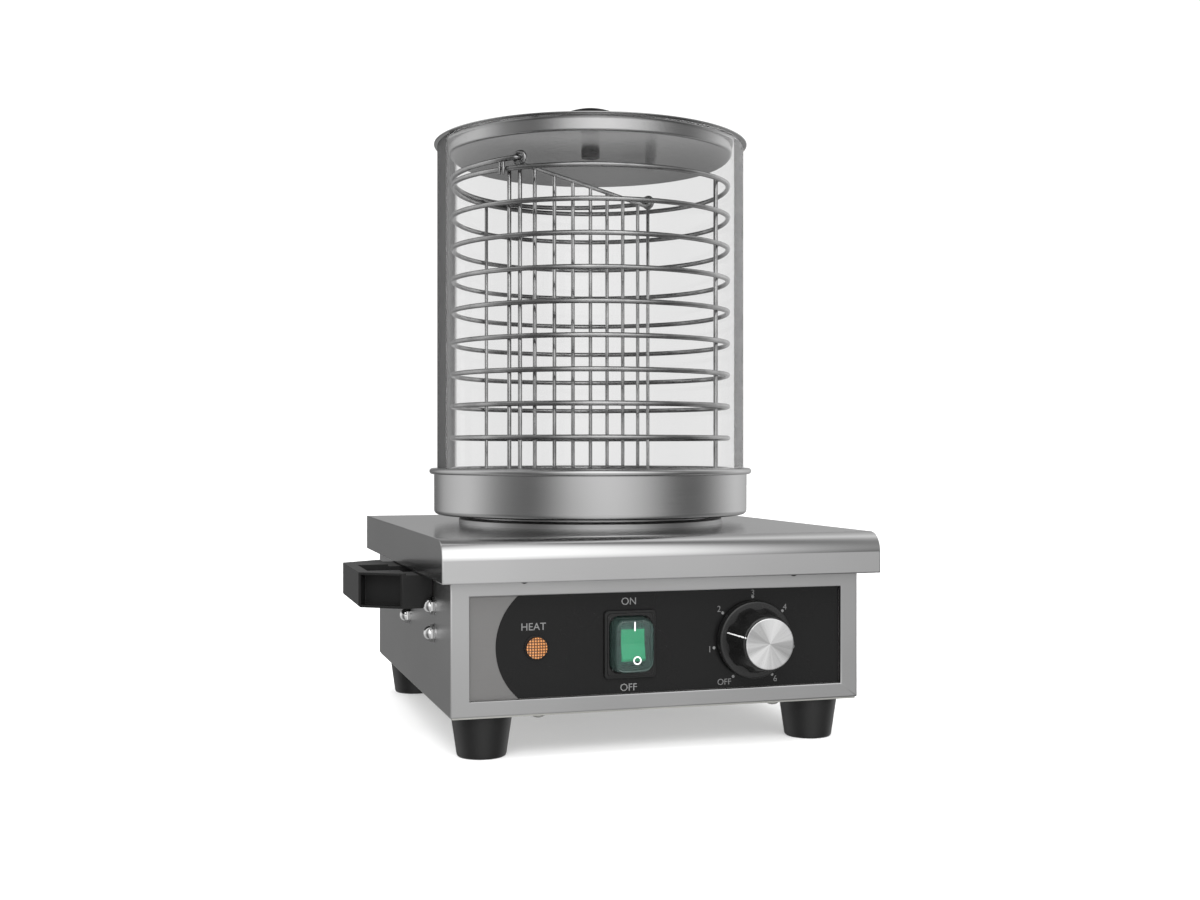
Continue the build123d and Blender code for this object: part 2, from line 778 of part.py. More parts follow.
# Tubular element: most of a ring under the hub, its two ends turned down
element_gap = 24.0
element_facets = 32
element_leg = 26.0
element_end_r = 3.0
with BuildPart() as heating_element:
    with BuildSketch(Plane.XY.offset(hub_bottom)):
        with Locations((0, stack_y)):
            RegularPolygon(element_ring_r + element_half, element_facets)
            RegularPolygon(element_ring_r - element_half, element_facets, mode=Mode.SUBTRACT)
        with Locations((0, stack_y + element_ring_r)):
            Rectangle(element_gap, 4 * element_half, mode=Mode.SUBTRACT)
    extrude(amount=-2 * element_half)
    with BuildSketch(Plane.XY.offset(hub_bottom)):
        with Locations((0, stack_y + element_ring_r - element_half / 2)):
            with GridLocations(element_gap + 2 * element_half, 0, 2, 1):
                RegularPolygon(element_end_r, stud_facets)
    extrude(amount=-element_leg)
heating_element.part.label = "heating_element"
export_step(heating_element.part, "parts/heating_element.step")

clamp_width = 16.0
clamp_length = 2 * element_ring_r + clamp_width
clamp_nut_r = 5.8
clamp_top = hub_bottom - 2 * element_half
with BuildPart() as element_clamp:
    with BuildSketch(Plane.XY.offset(clamp_top)):
        with Locations((0, stack_y)):
            Rectangle(clamp_length, clamp_width)
            Circle(centre_stud_r + seat_fit, mode=Mode.SUBTRACT)
    extrude(amount=-clamp_thick)
    with BuildSketch(Plane.XY.offset(clamp_top - clamp_thick)):
        with Locations((0, stack_y)):
            RegularPolygon(clamp_nut_r, 6)
            Circle(centre_stud_r + seat_fit, mode=Mode.SUBTRACT)
    extrude(amount=-clamp_nut)
element_clamp.part.label = "element_clamp"
export_step(element_clamp.part, "parts/element_clamp.step")

# Heat shield: a folded tray pulled up against the cover by the plate's three studs
shield_wall = plate_hub_r + shield_gap
shield_half = shield_wall + shield_flange
stud_hole_r = stud_r + 4 * seat_fit
with BuildPart() as heat_shield:
    with BuildSketch(Plane.XY.offset(body_top)):
        with Locations((0, stack_y)):
            Rectangle(2 * shield_half, 2 * shield_half)
            Rectangle(
                2 * (shield_wall - shield_sheet),
                2 * (shield_wall - shield_sheet),
                mode=Mode.SUBTRACT,
            )
    extrude(amount=-shield_sheet)
    with BuildSketch(Plane.XY.offset(shield_floor)):
        with Locations((0, stack_y)):
            Rectangle(2 * shield_wall, 2 * shield_wall)
    extrude(amount=shield_depth - shield_sheet)
    with BuildSketch(Plane.XY.offset(shield_floor + shield_sheet)):
        with Locations((0, stack_y)):
            Rectangle(2 * (shield_wall - shield_sheet), 2 * (shield_wall - shield_sheet))
    extrude(amount=shield_depth, mode=Mode.SUBTRACT)
    # a nut under each stud, and the openings for the studs and the element's ends
    with BuildSketch(Plane.XY.offset(shield_floor)):
        with Locations((0, stack_y)):
            with PolarLocations(stud_ring_r, 3, start_angle=30):
                RegularPolygon(shield_nut_r, 6)
    extrude(amount=-shield_nut)
    with BuildSketch(Plane.XY.offset(shield_floor + 2 * shield_sheet)):
        with Locations((0, stack_y)):
            with PolarLocations(stud_ring_r, 3, start_angle=30):
                RegularPolygon(stud_hole_r, 8)
        with Locations((0, stack_y + element_ring_r)):
            Rectangle(2 * element_gap, 4 * element_half)
    extrude(amount=-shield_nut - 3 * shield_sheet, mode=Mode.SUBTRACT)
heat_shield.part.label = "heat_shield"
export_step(heat_shield.part, "parts/heat_shield.step")

# Safety cut-out on the shield's underside
cutout_x = -34.0
cutout_offset = 24.0
cutout_y = stack_y - cutout_offset
cutout_r = 8.0
cutout_height = 7.0
cutout_strap = 24.0
cutout_strap_thick = 0.8
with BuildPart() as thermal_cutout:
    with BuildSketch(Plane.XY.offset(shield_floor)):
        with Locations((cutout_x, cutout_y)):
            Rectangle(cutout_strap, cutout_r)
    extrude(amount=-cutout_strap_thick)
    with BuildSketch(Plane.XY.offset(shield_floor)):
        with Locations((cutout_x, cutout_y)):
            RegularPolygon(cutout_r, 16)
    extrude(amount=-cutout_height)
    with BuildSketch(Plane.XY.offset(shield_floor - cutout_height)):
        with Locations((cutout_x, cutout_y)):
            with GridLocations(cutout_r, 0, 2, 1):
                Rectangle(blade_thick, blade_width)
    extrude(amount=-blade_length)
thermal_cutout.part.label = "thermal_cutout"
export_step(thermal_cutout.part, "parts/thermal_cutout.step")

# Thermostat bulb under the shield, its capillary led back to the thermostat
bulb_r = 3.0
bulb_length = 54.0
capillary_r = 0.9
bulb_inset = 33.0
capillary_lead = 8.0
capillary_bend = 6.0
capillary_loop = 16.0
capillary_rise = 11.0
bulb_y = stack_y - shield_wall + bulb_inset
bulb_z = shield_floor - bulb_r
bulb_end_gap = 10.0
bulb_lap = 1.0
bulb_end_x = dial_x - bulb_end_gap
capillary_z = control_z + capillary_rise
thermostat_back = panel_front + panel_sheet + thermostat_depth
with BuildPart() as thermostat_bulb:
    with BuildSketch(Plane(origin=(bulb_end_x - bulb_length, bulb_y, bulb_z), z_dir=(1, 0, 0))):
        RegularPolygon(bulb_r, 8, major_radius=False, rotation=22.5)
    extrude(amount=bulb_length)
    with BuildLine():
        capillary = FilletPolyline(
            (bulb_end_x - bulb_lap, bulb_y, bulb_z),
            (dial_x + capillary_lead, bulb_y, bulb_z),
            (dial_x + capillary_lead, thermostat_back + capillary_loop, bulb_z),
            (dial_x + capillary_lead, thermostat_back + capillary_loop, capillary_z),
            (dial_x + capillary_lead, thermostat_back, capillary_z),
            radius=capillary_bend,
        )
    with BuildSketch(Plane(origin=capillary @ 0, z_dir=capillary % 0)):
        RegularPolygon(capillary_r, 4)
    sweep(path=capillary)
thermostat_bulb.part.label = "thermostat_bulb"
export_step(thermostat_bulb.part, "parts/thermostat_bulb.step")

# ---------------------------------------------------------------- cable entry

terminal_width = 44.0
terminal_depth = 20.0
terminal_height = 16.0
terminal_cell = 7.0
terminal_offset = 10.0
terminal_inset = 46.0
terminal_x = gland_x - terminal_offset
terminal_y = body_rear - terminal_inset
with BuildPart() as terminal_block:
    with BuildSketch(Plane.XY.offset(body_bottom)):
        with Locations((terminal_x, terminal_y)):
            Rectangle(terminal_width, terminal_depth)
    extrude(amount=terminal_height)
    with BuildSketch(Plane.XY.offset(body_bottom + terminal_height)):
        with Locations((terminal_x, terminal_y)):
            with GridLocations(2 * terminal_cell, 1.5 * terminal_cell, 3, 2):
                Rectangle(terminal_cell, terminal_cell)
    extrude(amount=1 - terminal_cell, mode=Mode.SUBTRACT)
terminal_block.part.label = "terminal_block"
export_step(terminal_block.part, "parts/terminal_block.step")

earth_offset = 50.0
earth_inset = 40.0
earth_x = gland_x - earth_offset
earth_y = body_rear - earth_inset
earth_nut_r = 4.1
earth_nut_thick = 3.2
with BuildPart() as earth_stud:
    with BuildSketch(Plane.XY.offset(body_bottom)):
        with Locations((earth_x, earth_y)):
            RegularPolygon(stud_r, stud_facets)
    extrude(amount=terminal_height)
    with BuildSketch(Plane.XY.offset(body_bottom)):
        with Locations((earth_x, earth_y)):
            RegularPolygon(earth_nut_r, 6)
    extrude(amount=earth_nut_thick)
earth_stud.part.label = "earth_stud"
export_step(earth_stud.part, "parts/earth_stud.step")

# Cable gland in the rear wall: flange outside, threaded stem and nut inside
gland_bore_r = 4.2
gland_hex_r = 11.0
gland_hex_thick = 6.0
gland_reach = 20.1
gland_cap_r = 8.6
gland_nose_r = 6.4
gland_nose = 5.0
gland_stem = 11.0
gland_facets = 24
gland_nut_thick = 4.0
with BuildPart() as cable_gland:
    with BuildSketch(Plane.XZ.offset(-body_rear)):
        with Locations((gland_x, gland_z)):
            RegularPolygon(gland_thread_r, gland_facets)
    extrude(amount=gland_stem)
    with BuildSketch(Plane.XZ.offset(-body_rear)):
        with Locations((gland_x, gland_z)):
            RegularPolygon(gland_hex_r, 6)
    extrude(amount=-gland_hex_thick)
    with BuildSketch(Plane.XZ.offset(-body_rear - gland_hex_thick)):
        with Locations((gland_x, gland_z)):
            RegularPolygon(gland_cap_r, gland_facets)
    extrude(amount=gland_hex_thick - gland_reach)
    nose = cable_gland.faces().sort_by(Axis.Y)[-1]
    chamfer(nose.edges(), length=gland_cap_r - gland_nose_r, length2=gland_nose, reference=nose)
    with BuildSketch(Plane.XZ.offset(-body_rear + gland_stem)):
        with Locations((gland_x, gland_z)):
            Circle(gland_bore_r)
    extrude(amount=-gland_stem - gland_reach, mode=Mode.SUBTRACT)
cable_gland.part.label = "cable_gland"
export_step(cable_gland.part, "parts/cable_gland.step")

with BuildPart() as gland_nut:
    with BuildSketch(Plane.XZ.offset(-body_rear + sheet)):
        with Locations((gland_x, gland_z)):
            RegularPolygon(gland_hex_r, 6)
            RegularPolygon(gland_thread_r + weld_gap, gland_facets, mode=Mode.SUBTRACT)
    extrude(amount=gland_nut_thick)
gland_nut.part.label = "gland_nut"
export_step(gland_nut.part, "parts/gland_nut.step")

# ---------------------------------------------------------------- pan, glass

# Water pan: flat floor, coned corner, straight wall and an outward bead
with BuildPart() as water_pan:
    with BuildSketch(stack_plane):
        with BuildLine():
            Polyline(
                (0, plate_top),
                (pan_wall_r - pan_corner, plate_top),
                (pan_wall_r, plate_top + pan_corner),
                (pan_wall_r, plate_top + pan_height),
            )
            offset(amount=pan_sheet, side=Side.LEFT, kind=Kind.INTERSECTION)
        make_face()
    revolve(axis=stack_axis)
    with BuildSketch(Plane.XY.offset(plate_top + pan_height - pan_bead)):
        with Locations((0, stack_y)):
            RegularPolygon(pan_wall_r - pan_sheet + 2 * pan_bead, bead_facets)
            Circle(pan_wall_r - pan_sheet, mode=Mode.SUBTRACT)
    extrude(amount=bead_height)
water_pan.part.label = "water_pan"
export_step(water_pan.part, "parts/water_pan.step")

with BuildPart() as glass_cylinder:
    with BuildSketch(Plane.XY.offset(pan_floor)):
        with Locations((0, stack_y)):
            Circle(glass_r)
            Circle(glass_r - glass_wall, mode=Mode.SUBTRACT)
    extrude(amount=glass_height)
glass_cylinder.part.label = "glass_cylinder"
export_step(glass_cylinder.part, "parts/glass_cylinder.step")

# ---------------------------------------------------------------- wire basket

# Directions of the divider and of the wires that cross it, as unit vectors in plan
along = Vector(sin(radians(divider_angle)), cos(radians(divider_angle)), 0)
across = Vector(cos(radians(divider_angle)), -sin(radians(divider_angle)), 0)
centre = Vector(0, stack_y, 0)

# Rings of bent wire, each drawn with flats and of the area of the round wire
ring_half = wire_half(ring_wire)
with BuildPart() as basket_rings:
    for ring in range(ring_count):
        with BuildSketch(Plane.XY.offset(ring_top - ring * ring_pitch)):
            with Locations((0, stack_y)):
                RegularPolygon(ring_r + ring_half, ring_facets, major_radius=False)
                RegularPolygon(
                    ring_r - ring_half, ring_facets, major_radius=False, mode=Mode.SUBTRACT
                )
        extrude(amount=ring_half, both=True)
basket_rings.part.label = "basket_rings"
export_step(basket_rings.part, "parts/basket_rings.step")

# Three uprights inside the rings, standing on the pan floor as the basket's legs
upright_half = wire_half(upright_wire)
inner_r = ring_r - ring_half - weld_gap
upright_r = inner_r - upright_half
with BuildPart() as basket_uprights:
    for angle in upright_angles:
        outward = Vector(sin(radians(angle)), cos(radians(angle)), 0)
        foot_point = centre + outward * upright_r + Vector(0, 0, pan_floor)
        with BuildSketch(Plane(origin=foot_point, x_dir=outward, z_dir=(0, 0, 1))):
            Rectangle(2 * upright_half, 2 * upright_half)
        extrude(amount=basket_height)
basket_uprights.part.label = "basket_uprights"
export_step(basket_uprights.part, "parts/basket_uprights.step")

# Floor: wires across the divider laid on the lowest ring, two more under them
ring_low = ring_top - (ring_count - 1) * ring_pitch
floor_z = ring_low + ring_half + upright_half
cross_z = floor_z - 2 * upright_half


def wire_plane(start, direction):
    """Section plane of a level wire that runs from start along direction."""
    return Plane(origin=start, x_dir=direction.cross(Vector(0, 0, 1)), z_dir=direction)


with BuildPart() as basket_floor:
    for step in range(-floor_half_count, floor_half_count):
        shift = (step + 0.5) * floor_pitch
        reach = sqrt(ring_r**2 - shift**2)
        start = centre + along * shift - across * reach + Vector(0, 0, floor_z)
        with BuildSketch(wire_plane(start, across)):
            Rectangle(2 * upright_half, 2 * upright_half)
        extrude(amount=2 * reach)
    for cross in (-floor_cross, floor_cross):
        reach = sqrt((inner_r - upright_half) ** 2 - cross**2)
        start = centre + across * cross - along * reach + Vector(0, 0, cross_z)
        with BuildSketch(wire_plane(start, along)):
            Rectangle(2 * upright_half, 2 * upright_half)
        extrude(amount=2 * reach)
basket_floor.part.label = "basket_floor"
export_step(basket_floor.part, "parts/basket_floor.step")

# Divider: a top rail laid over the first ring, its ends rolled into eyes, and a row
# of verticals from the rail down to the floor wires
rail_half = wire_half(rail_wire)
rail_z = ring_top + ring_half + rail_half
eye_half = wire_half(eye_wire)
eye_z = rail_z + eye_r
eye_facets = 12
divider_foot = floor_z + upright_half
with BuildPart() as basket_divider:
    rail_start = centre - along * ring_r + Vector(0, 0, rail_z)
    with BuildSketch(wire_plane(rail_start, along)):
        Rectangle(2 * rail_half, 2 * rail_half)
    extrude(amount=2 * ring_r)
    for place in range(-divider_half_count, divider_half_count + 1):
        foot_point = centre + along * (place * divider_step) + Vector(0, 0, divider_foot)
        with BuildSketch(Plane(origin=foot_point, x_dir=along, z_dir=(0, 0, 1))):
            Rectangle(2 * upright_half, 2 * upright_half)
        extrude(amount=rail_z - divider_foot)
    for end in (-1, 1):
        end_point = centre + along * (end * upright_r) + Vector(0, 0, pan_floor)
        with BuildSketch(Plane(origin=end_point, x_dir=along, z_dir=(0, 0, 1))):
            Rectangle(2 * upright_half, 2 * upright_half)
        extrude(amount=rail_z - pan_floor)
        # eye, a ring square to the rail
        eye_centre = centre + along * (end * eye_place) + Vector(0, 0, eye_z)
        with BuildSketch(Plane(origin=eye_centre, x_dir=(0, 0, 1), z_dir=along)):
            RegularPolygon(eye_r + eye_half, eye_facets)
            RegularPolygon(eye_r - eye_half, eye_facets, mode=Mode.SUBTRACT)
        extrude(amount=eye_half, both=True)
basket_divider.part.label = "basket_divider"
export_step(basket_divider.part, "parts/basket_divider.step")

# Bail: a half hoop lying on the first ring, its ends hooked in through the eyes.
# The hoop's centre lies beyond the hinge line, so that its sides clear the eyes.
bail_half = wire_half(bail_wire)
rest_gap = 0.15
bail_rest_z = ring_top + ring_half + bail_half + rest_gap
bail_droop = asin((eye_z - bail_rest_z) / bail_reach)
hinge_centre = centre + Vector(0, 0, eye_z)
bail_out = across * -cos(bail_droop) - Vector(0, 0, sin(bail_droop))
bail_plane = Plane(origin=hinge_centre, x_dir=along, z_dir=along.cross(bail_out))
bail_side = 5.0
bail_lap = 1.0
hoop_r = (bail_foot**2 + (bail_reach - bail_side) ** 2) / (2 * (bail_reach - bail_side))
with BuildPart() as bail:
    with BuildSketch(bail_plane):
        with Locations((0, bail_reach - hoop_r)):
            RegularPolygon(hoop_r + bail_half, ring_facets, major_radius=False)
            RegularPolygon(
                hoop_r - bail_half, ring_facets, major_radius=False, mode=Mode.SUBTRACT
            )
        with Locations((0, bail_side - hoop_r)):
            Rectangle(4 * hoop_r, 2 * hoop_r, mode=Mode.SUBTRACT)
        with GridLocations(2 * bail_foot, 0, 2, 1):
            Rectangle(2 * bail_half, 2 * bail_side + bail_lap)
        with Locations((0, -bail_side)):
            Rectangle(2 * (bail_foot + bail_half), 2 * (bail_side - bail_half), mode=Mode.SUBTRACT)
        with GridLocations(bail_foot + hook_reach + bail_half, 0, 2, 1):
            Rectangle(bail_foot - hook_reach + bail_half, 2 * bail_half)
    extrude(amount=bail_half, both=True)
bail.part.label = "bail"
export_step(bail.part, "parts/bail.step")

# Clip on the first ring that keeps the resting bail from slipping outwards
clip_angle = -129.0
clip_wire = 0.9
clip_r = (ring_r + ring_half) / cos(pi / ring_facets) + weld_gap
clip_rise = 8.0
clip_plane = Plane(
    origin=(
        clip_r * sin(radians(clip_angle)),
        stack_y + clip_r * cos(radians(clip_angle)),
        ring_top - clip_rise / 2,
    ),
    x_dir=(sin(radians(clip_angle)), cos(radians(clip_angle)), 0),
    z_dir=(0, 0, 1),
)
with BuildPart() as ring_clip:
    with BuildSketch(clip_plane):
        with Locations((clip_wire, 0)):
            Rectangle(2 * clip_wire, 5 * clip_wire)
    extrude(amount=clip_rise)
ring_clip.part.label = "ring_clip"
export_step(ring_clip.part, "parts/ring_clip.step")

# ---------------------------------------------------------------- lid

# Dished lid: a round rim on the glass, a wall sloping down inside it, and a disc that
# rises to a low crown. The wall and the crown are drawn with flats.
lid_disc_z = glass_top - lid_dish
lid_facets = 40
screw_hole_r = 2.7
crown_land = 0.1
wall_slope = lid_wall_top_r - lid_wall_low_r
crown_edge_r = lid_wall_low_r - lid_sheet
with BuildPart() as lid_hollow:
    with BuildSketch(Plane.XY.offset(lid_disc_z + lid_sheet)):
        with Locations((0, stack_y)):
            RegularPolygon(lid_wall_top_r - lid_sheet, lid_facets)
    extrude(amount=lid_dish)
    hollow_floor = lid_hollow.faces().sort_by(Axis.Z)[0]
    chamfer(
        hollow_floor.edges(),
        length=wall_slope,
        length2=lid_dish - lid_sheet,
        reference=hollow_floor,
    )
with BuildPart() as lid_rise:
    with BuildSketch(Plane.XY.offset(lid_disc_z)):
        with Locations((0, stack_y)):
            RegularPolygon(crown_edge_r, lid_facets)
    extrude(amount=lid_crown)
    crest = lid_rise.faces().sort_by(Axis.Z)[-1]
    chamfer(
        crest.edges(),
        length=crown_edge_r - lid_crest_r,
        length2=lid_crown - crown_land,
        reference=crest,
    )
with BuildPart() as lid_pan:
    with BuildSketch(Plane.XY.offset(glass_top)):
        with Locations((0, stack_y)):
            RegularPolygon(lid_wall_top_r, lid_facets)
    extrude(amount=-lid_dish)
    dish_floor = lid_pan.faces().sort_by(Axis.Z)[0]
    chamfer(
        dish_floor.edges(),
        length=wall_slope,
        length2=lid_dish - lid_sheet,
        reference=dish_floor,
    )
    with BuildSketch(Plane.XY.offset(glass_top)):
        with Locations((0, stack_y)):
            Circle(lid_rim_r)
    extrude(amount=lid_sheet)
    add(lid_hollow.part, mode=Mode.SUBTRACT)
    with Locations((0, 0, lid_sheet)):
        add(lid_rise.part)
    add(lid_rise.part, mode=Mode.SUBTRACT)
    with BuildSketch(Plane.XY.offset(lid_disc_z)):
        with Locations((0, stack_y)):
            RegularPolygon(screw_hole_r, 12)
    extrude(amount=2 * lid_crown, mode=Mode.SUBTRACT)
lid_pan.part.label = "lid_pan"
export_step(lid_pan.part, "parts/lid_pan.step")

# Mushroom knob of moulded plastic, screwed on from below
knob_seat = lid_disc_z + lid_crown + lid_sheet
lid_knob_top = glass_top + lid_knob_rise
lid_knob_neck_r = 7.0
knob_facets = 32
brim_run = 8.5
brim_drop = 5.0
crest_run = 8.0
crest_drop = 2.6
knob_hole_r = 2.6
knob_hole_depth = 16.0
screw_end_gap = 0.2
with BuildPart() as lid_knob:
    with BuildSketch(Plane.XY.offset(lid_knob_top - lid_knob_brim)):
        with Locations((0, stack_y)):
            RegularPolygon(lid_knob_r, knob_facets)
    extrude(amount=lid_knob_brim)
    knob_under = lid_knob.faces().sort_by(Axis.Z)[0]
    chamfer(knob_under.edges(), length=brim_run, length2=brim_drop, reference=knob_under)
    knob_crest = lid_knob.faces().sort_by(Axis.Z)[-1]
    chamfer(knob_crest.edges(), length=crest_run, length2=crest_drop, reference=knob_crest)
    with BuildSketch(Plane.XY.offset(knob_seat)):
        with Locations((0, stack_y)):
            RegularPolygon(lid_knob_neck_r, knob_facets)
    extrude(amount=lid_knob_top - lid_knob_brim / 2 - knob_seat)
    with BuildSketch(Plane.XY.offset(knob_seat)):
        with Locations((0, stack_y)):
            RegularPolygon(knob_hole_r, 12)
    extrude(amount=knob_hole_depth, mode=Mode.SUBTRACT)
lid_knob.part.label = "lid_knob"
export_step(lid_knob.part, "parts/lid_knob.step")

lid_screw_r = 6.0
lid_screw_thick = 3.8
lid_screw_head = lid_disc_z + lid_crown
with BuildPart() as lid_screw:
    with BuildSketch(Plane.XY.offset(lid_screw_head)):
        with Locations((0, stack_y)):
            RegularPolygon(lid_screw_r, 24)
    extrude(amount=-lid_screw_thick)
    with BuildSketch(Plane.XY.offset(lid_screw_head)):
        with Locations((0, stack_y)):
            RegularPolygon(knob_hole_r - seat_fit, 12)
    extrude(amount=knob_hole_depth - lid_sheet - screw_end_gap)
lid_screw.part.label = "lid_screw"
export_step(lid_screw.part, "parts/lid_screw.step")
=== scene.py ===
from math import asin, atan2, cos, pi, radians, sin, sqrt

import bmesh
import bpy
from mathutils import Matrix, Vector


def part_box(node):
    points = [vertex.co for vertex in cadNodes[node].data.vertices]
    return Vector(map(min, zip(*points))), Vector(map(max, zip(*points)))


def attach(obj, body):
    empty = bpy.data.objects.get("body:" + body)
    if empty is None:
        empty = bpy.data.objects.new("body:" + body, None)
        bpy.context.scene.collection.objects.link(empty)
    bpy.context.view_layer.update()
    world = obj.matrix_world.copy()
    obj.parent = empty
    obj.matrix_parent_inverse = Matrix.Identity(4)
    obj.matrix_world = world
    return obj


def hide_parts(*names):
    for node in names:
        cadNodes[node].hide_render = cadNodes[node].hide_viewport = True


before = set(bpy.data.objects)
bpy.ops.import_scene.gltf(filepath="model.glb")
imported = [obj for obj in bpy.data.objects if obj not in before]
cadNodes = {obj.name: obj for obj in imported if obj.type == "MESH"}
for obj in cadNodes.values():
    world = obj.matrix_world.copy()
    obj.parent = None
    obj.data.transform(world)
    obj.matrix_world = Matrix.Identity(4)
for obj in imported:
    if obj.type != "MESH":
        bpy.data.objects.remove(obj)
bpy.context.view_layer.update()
print("frame loaded:", len(cadNodes), "nodes")

millimetre = 0.001
stackAxis, lift = Vector((0.0, 10.66, 0.0)), Vector((0, 0, 1))

# millimetres above the table; the panel's face is a distance ahead of the middle
levels = {
    "coverTop": 122.1,
    "plateTop": 128.0,
    "panFloor": 128.8,
    "glassTop": 367.4,
    "ringTop": 339.0,
    "control": 61.1,
    "panelFace": -128.8,
}


def held(profile, closed, margin=0.35):
    # long stretches get a point near each end, so that their shading stays flat
    made = []
    following = profile[1:] + (profile[:1] if closed else [])
    for (r, h), (nextR, nextH) in zip(profile, following):
        made.append((r, h))
        share = margin / max(margin, sqrt((nextR - r) ** 2 + (nextH - h) ** 2))
        if share < 0.2:
            made.append((r + (nextR - r) * share, h + (nextH - h) * share))
            made.append((nextR - (nextR - r) * share, nextH - (nextH - h) * share))
    return made if closed else made + profile[-1:]


def turned(profile, centre, steps=96, axis=(0, 0, 1), start=(1, 0, 0), closed=False):
    # profile points are (radius, distance along the axis)
    bm = bmesh.new()
    profile = held(list(profile), closed)
    axis, start, centre = Vector(axis), Vector(start), Vector(centre)
    verts = [bm.verts.new(centre + start * r + axis * h) for r, h in profile]
    pairs = list(zip(verts, verts[1:])) + ([(verts[-1], verts[0])] if closed else [])
    edges = [bm.edges.new(pair) for pair in pairs]
    bmesh.ops.spin(
        bm, geom=verts + edges, cent=centre, axis=axis, angle=2 * pi, steps=steps,
        use_merge=True, use_normal_flip=False, use_duplicate=False,
    )
    bmesh.ops.remove_doubles(bm, verts=bm.verts, dist=0.0005)
    bmesh.ops.recalc_face_normals(bm, faces=bm.faces)
    return bm


def arcPoints(centre, radius, fromAngle, toAngle, steps):
    # points of an arc in a profile, angles in degrees from the outward direction
    made = []
    for i in range(steps + 1):
        a = radians(fromAngle + (toAngle - fromAngle) * i / steps)
        made.append((centre[0] + radius * cos(a), centre[1] + radius * sin(a)))
    return made


def placed(spot, direction):
    # a matrix that brings a shape to the spot, its Z axis along the direction
    return Matrix.Translation(spot) @ direction.to_track_quat("Z", "Y").to_matrix().to_4x4()


def edgesOf(verts):
    return list(dict.fromkeys(e for v in verts for e in v.link_edges))


def bevelEdges(bm, edges, width, segments=2, clamped=False):
    bmesh.ops.bevel(bm, geom=edges, offset=width, offset_type="OFFSET", segments=segments,
                    profile=0.5, affect="EDGES", material=-1, clamp_overlap=clamped)


def addRod(bm, start, end, radius, sides=10, bevelled=0.0):
    start, end = Vector(start), Vector(end)
    run = end - start
    got = bmesh.ops.create_cone(
        bm, cap_ends=True, cap_tris=False, segments=sides, radius1=radius, radius2=radius,
        depth=run.length, matrix=placed((start + end) / 2, run),
    )
    if bevelled:
        caps = [e for e in edgesOf(got["verts"])
                if all(abs((v.co - start).dot(run)) < 1e-4 or abs((v.co - end).dot(run)) < 1e-4
                       for v in e.verts)
                and abs((e.verts[0].co - e.verts[1].co).dot(run)) < 1e-4]
        bevelEdges(bm, caps, bevelled)
    return bm


def addBentWire(bm, path, radius, sides=10):
    # one round wire carried along a path of points
    heading = (path[1] - path[0]).normalized()
    section = bmesh.ops.create_circle(bm, cap_ends=True, segments=sides, radius=radius,
                                      matrix=placed(path[0], heading))
    rim = edgesOf(section["verts"])
    for i in range(1, len(path)):
        last = i == len(path) - 1
        ahead = (path[i] - path[i - 1]) if last else (path[i + 1] - path[i - 1])
        ahead.normalize()
        moved = bmesh.ops.extrude_edge_only(bm, edges=rim)["geom"]
        verts = [g for g in moved if isinstance(g, bmesh.types.BMVert)]
        fresh = set(verts)
        rim = [g for g in moved if isinstance(g, bmesh.types.BMEdge) and set(g.verts) <= fresh]
        bmesh.ops.translate(bm, vec=path[i] - path[i - 1], verts=verts)
        bmesh.ops.rotate(bm, cent=path[i], matrix=heading.rotation_difference(ahead).to_matrix(),
                         verts=verts)
        heading = ahead
    bmesh.ops.edgeloop_fill(bm, edges=rim)
    return bm


def addHoop(bm, centre, radius, wire, normal=(0, 0, 1), steps=96, sides=10):
    # a closed ring of round wire
    normal = Vector(normal).normalized()
    outward = normal.orthogonal().normalized()
    section = bmesh.ops.create_circle(bm, cap_ends=False, segments=sides, radius=wire,
                                      matrix=placed(Vector(centre) + outward * radius,
                                                    normal.cross(outward)))
    bmesh.ops.spin(bm, geom=section["verts"] + edgesOf(section["verts"]), cent=Vector(centre),
                   axis=normal, angle=2 * pi, steps=steps, use_merge=True, use_duplicate=False)
    return bm


def joined(bm, other):
    # the other shape becomes part of this one
    mesh = bpy.data.meshes.new("joined")
    other.to_mesh(mesh)
    other.free()
    bm.from_mesh(mesh)
    bpy.data.meshes.remove(mesh)
    return bm


def softened(nodeName, width, segments=2, fold=35.0):
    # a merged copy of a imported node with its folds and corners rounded
    bm = bmesh.new()
    bm.from_mesh(cadNodes[nodeName].data)
    bmesh.ops.scale(bm, vec=Vector((1 / millimetre,) * 3), verts=bm.verts)
    bmesh.ops.remove_doubles(bm, verts=bm.verts, dist=0.004)
    bmesh.ops.dissolve_limit(bm, angle_limit=radians(0.5), verts=bm.verts, edges=bm.edges)
    sharp = [e for e in bm.edges if len(e.link_faces) == 2 and e.calc_face_angle(0) > radians(fold)]
    bevelEdges(bm, sharp, width, segments, clamped=True)
    # a narrow border round each wide face keeps its shading flat
    wide = [f for f in bm.faces if 2 * f.calc_area() / f.calc_perimeter() > 2.5]
    bmesh.ops.inset_individual(bm, faces=wide, thickness=0.35, depth=0.0, use_even_offset=True)
    return bm


def shown(name, data):
    made = bpy.data.objects.new(name, data)
    bpy.context.scene.collection.objects.link(made)
    return made


def finished(bm, name, body, material, replaced=(), crease=38.0, normals=False):
    # sizes go to metres, the mesh gets its object, body, finish and slot
    if normals:
        bmesh.ops.recalc_face_normals(bm, faces=bm.faces)
    bmesh.ops.scale(bm, vec=Vector((millimetre,) * 3), verts=bm.verts)
    for face in bm.faces:
        face.smooth = True
    for edge in bm.edges:
        edge.smooth = not (len(edge.link_faces) == 2 and edge.calc_face_angle(0) > radians(crease))
    mesh = bpy.data.meshes.new(name)
    bm.to_mesh(mesh)
    bm.free()
    mesh.materials.append(material)
    piece = shown(name, mesh)
    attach(piece, body)
    if replaced:
        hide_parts(*replaced)
    return piece


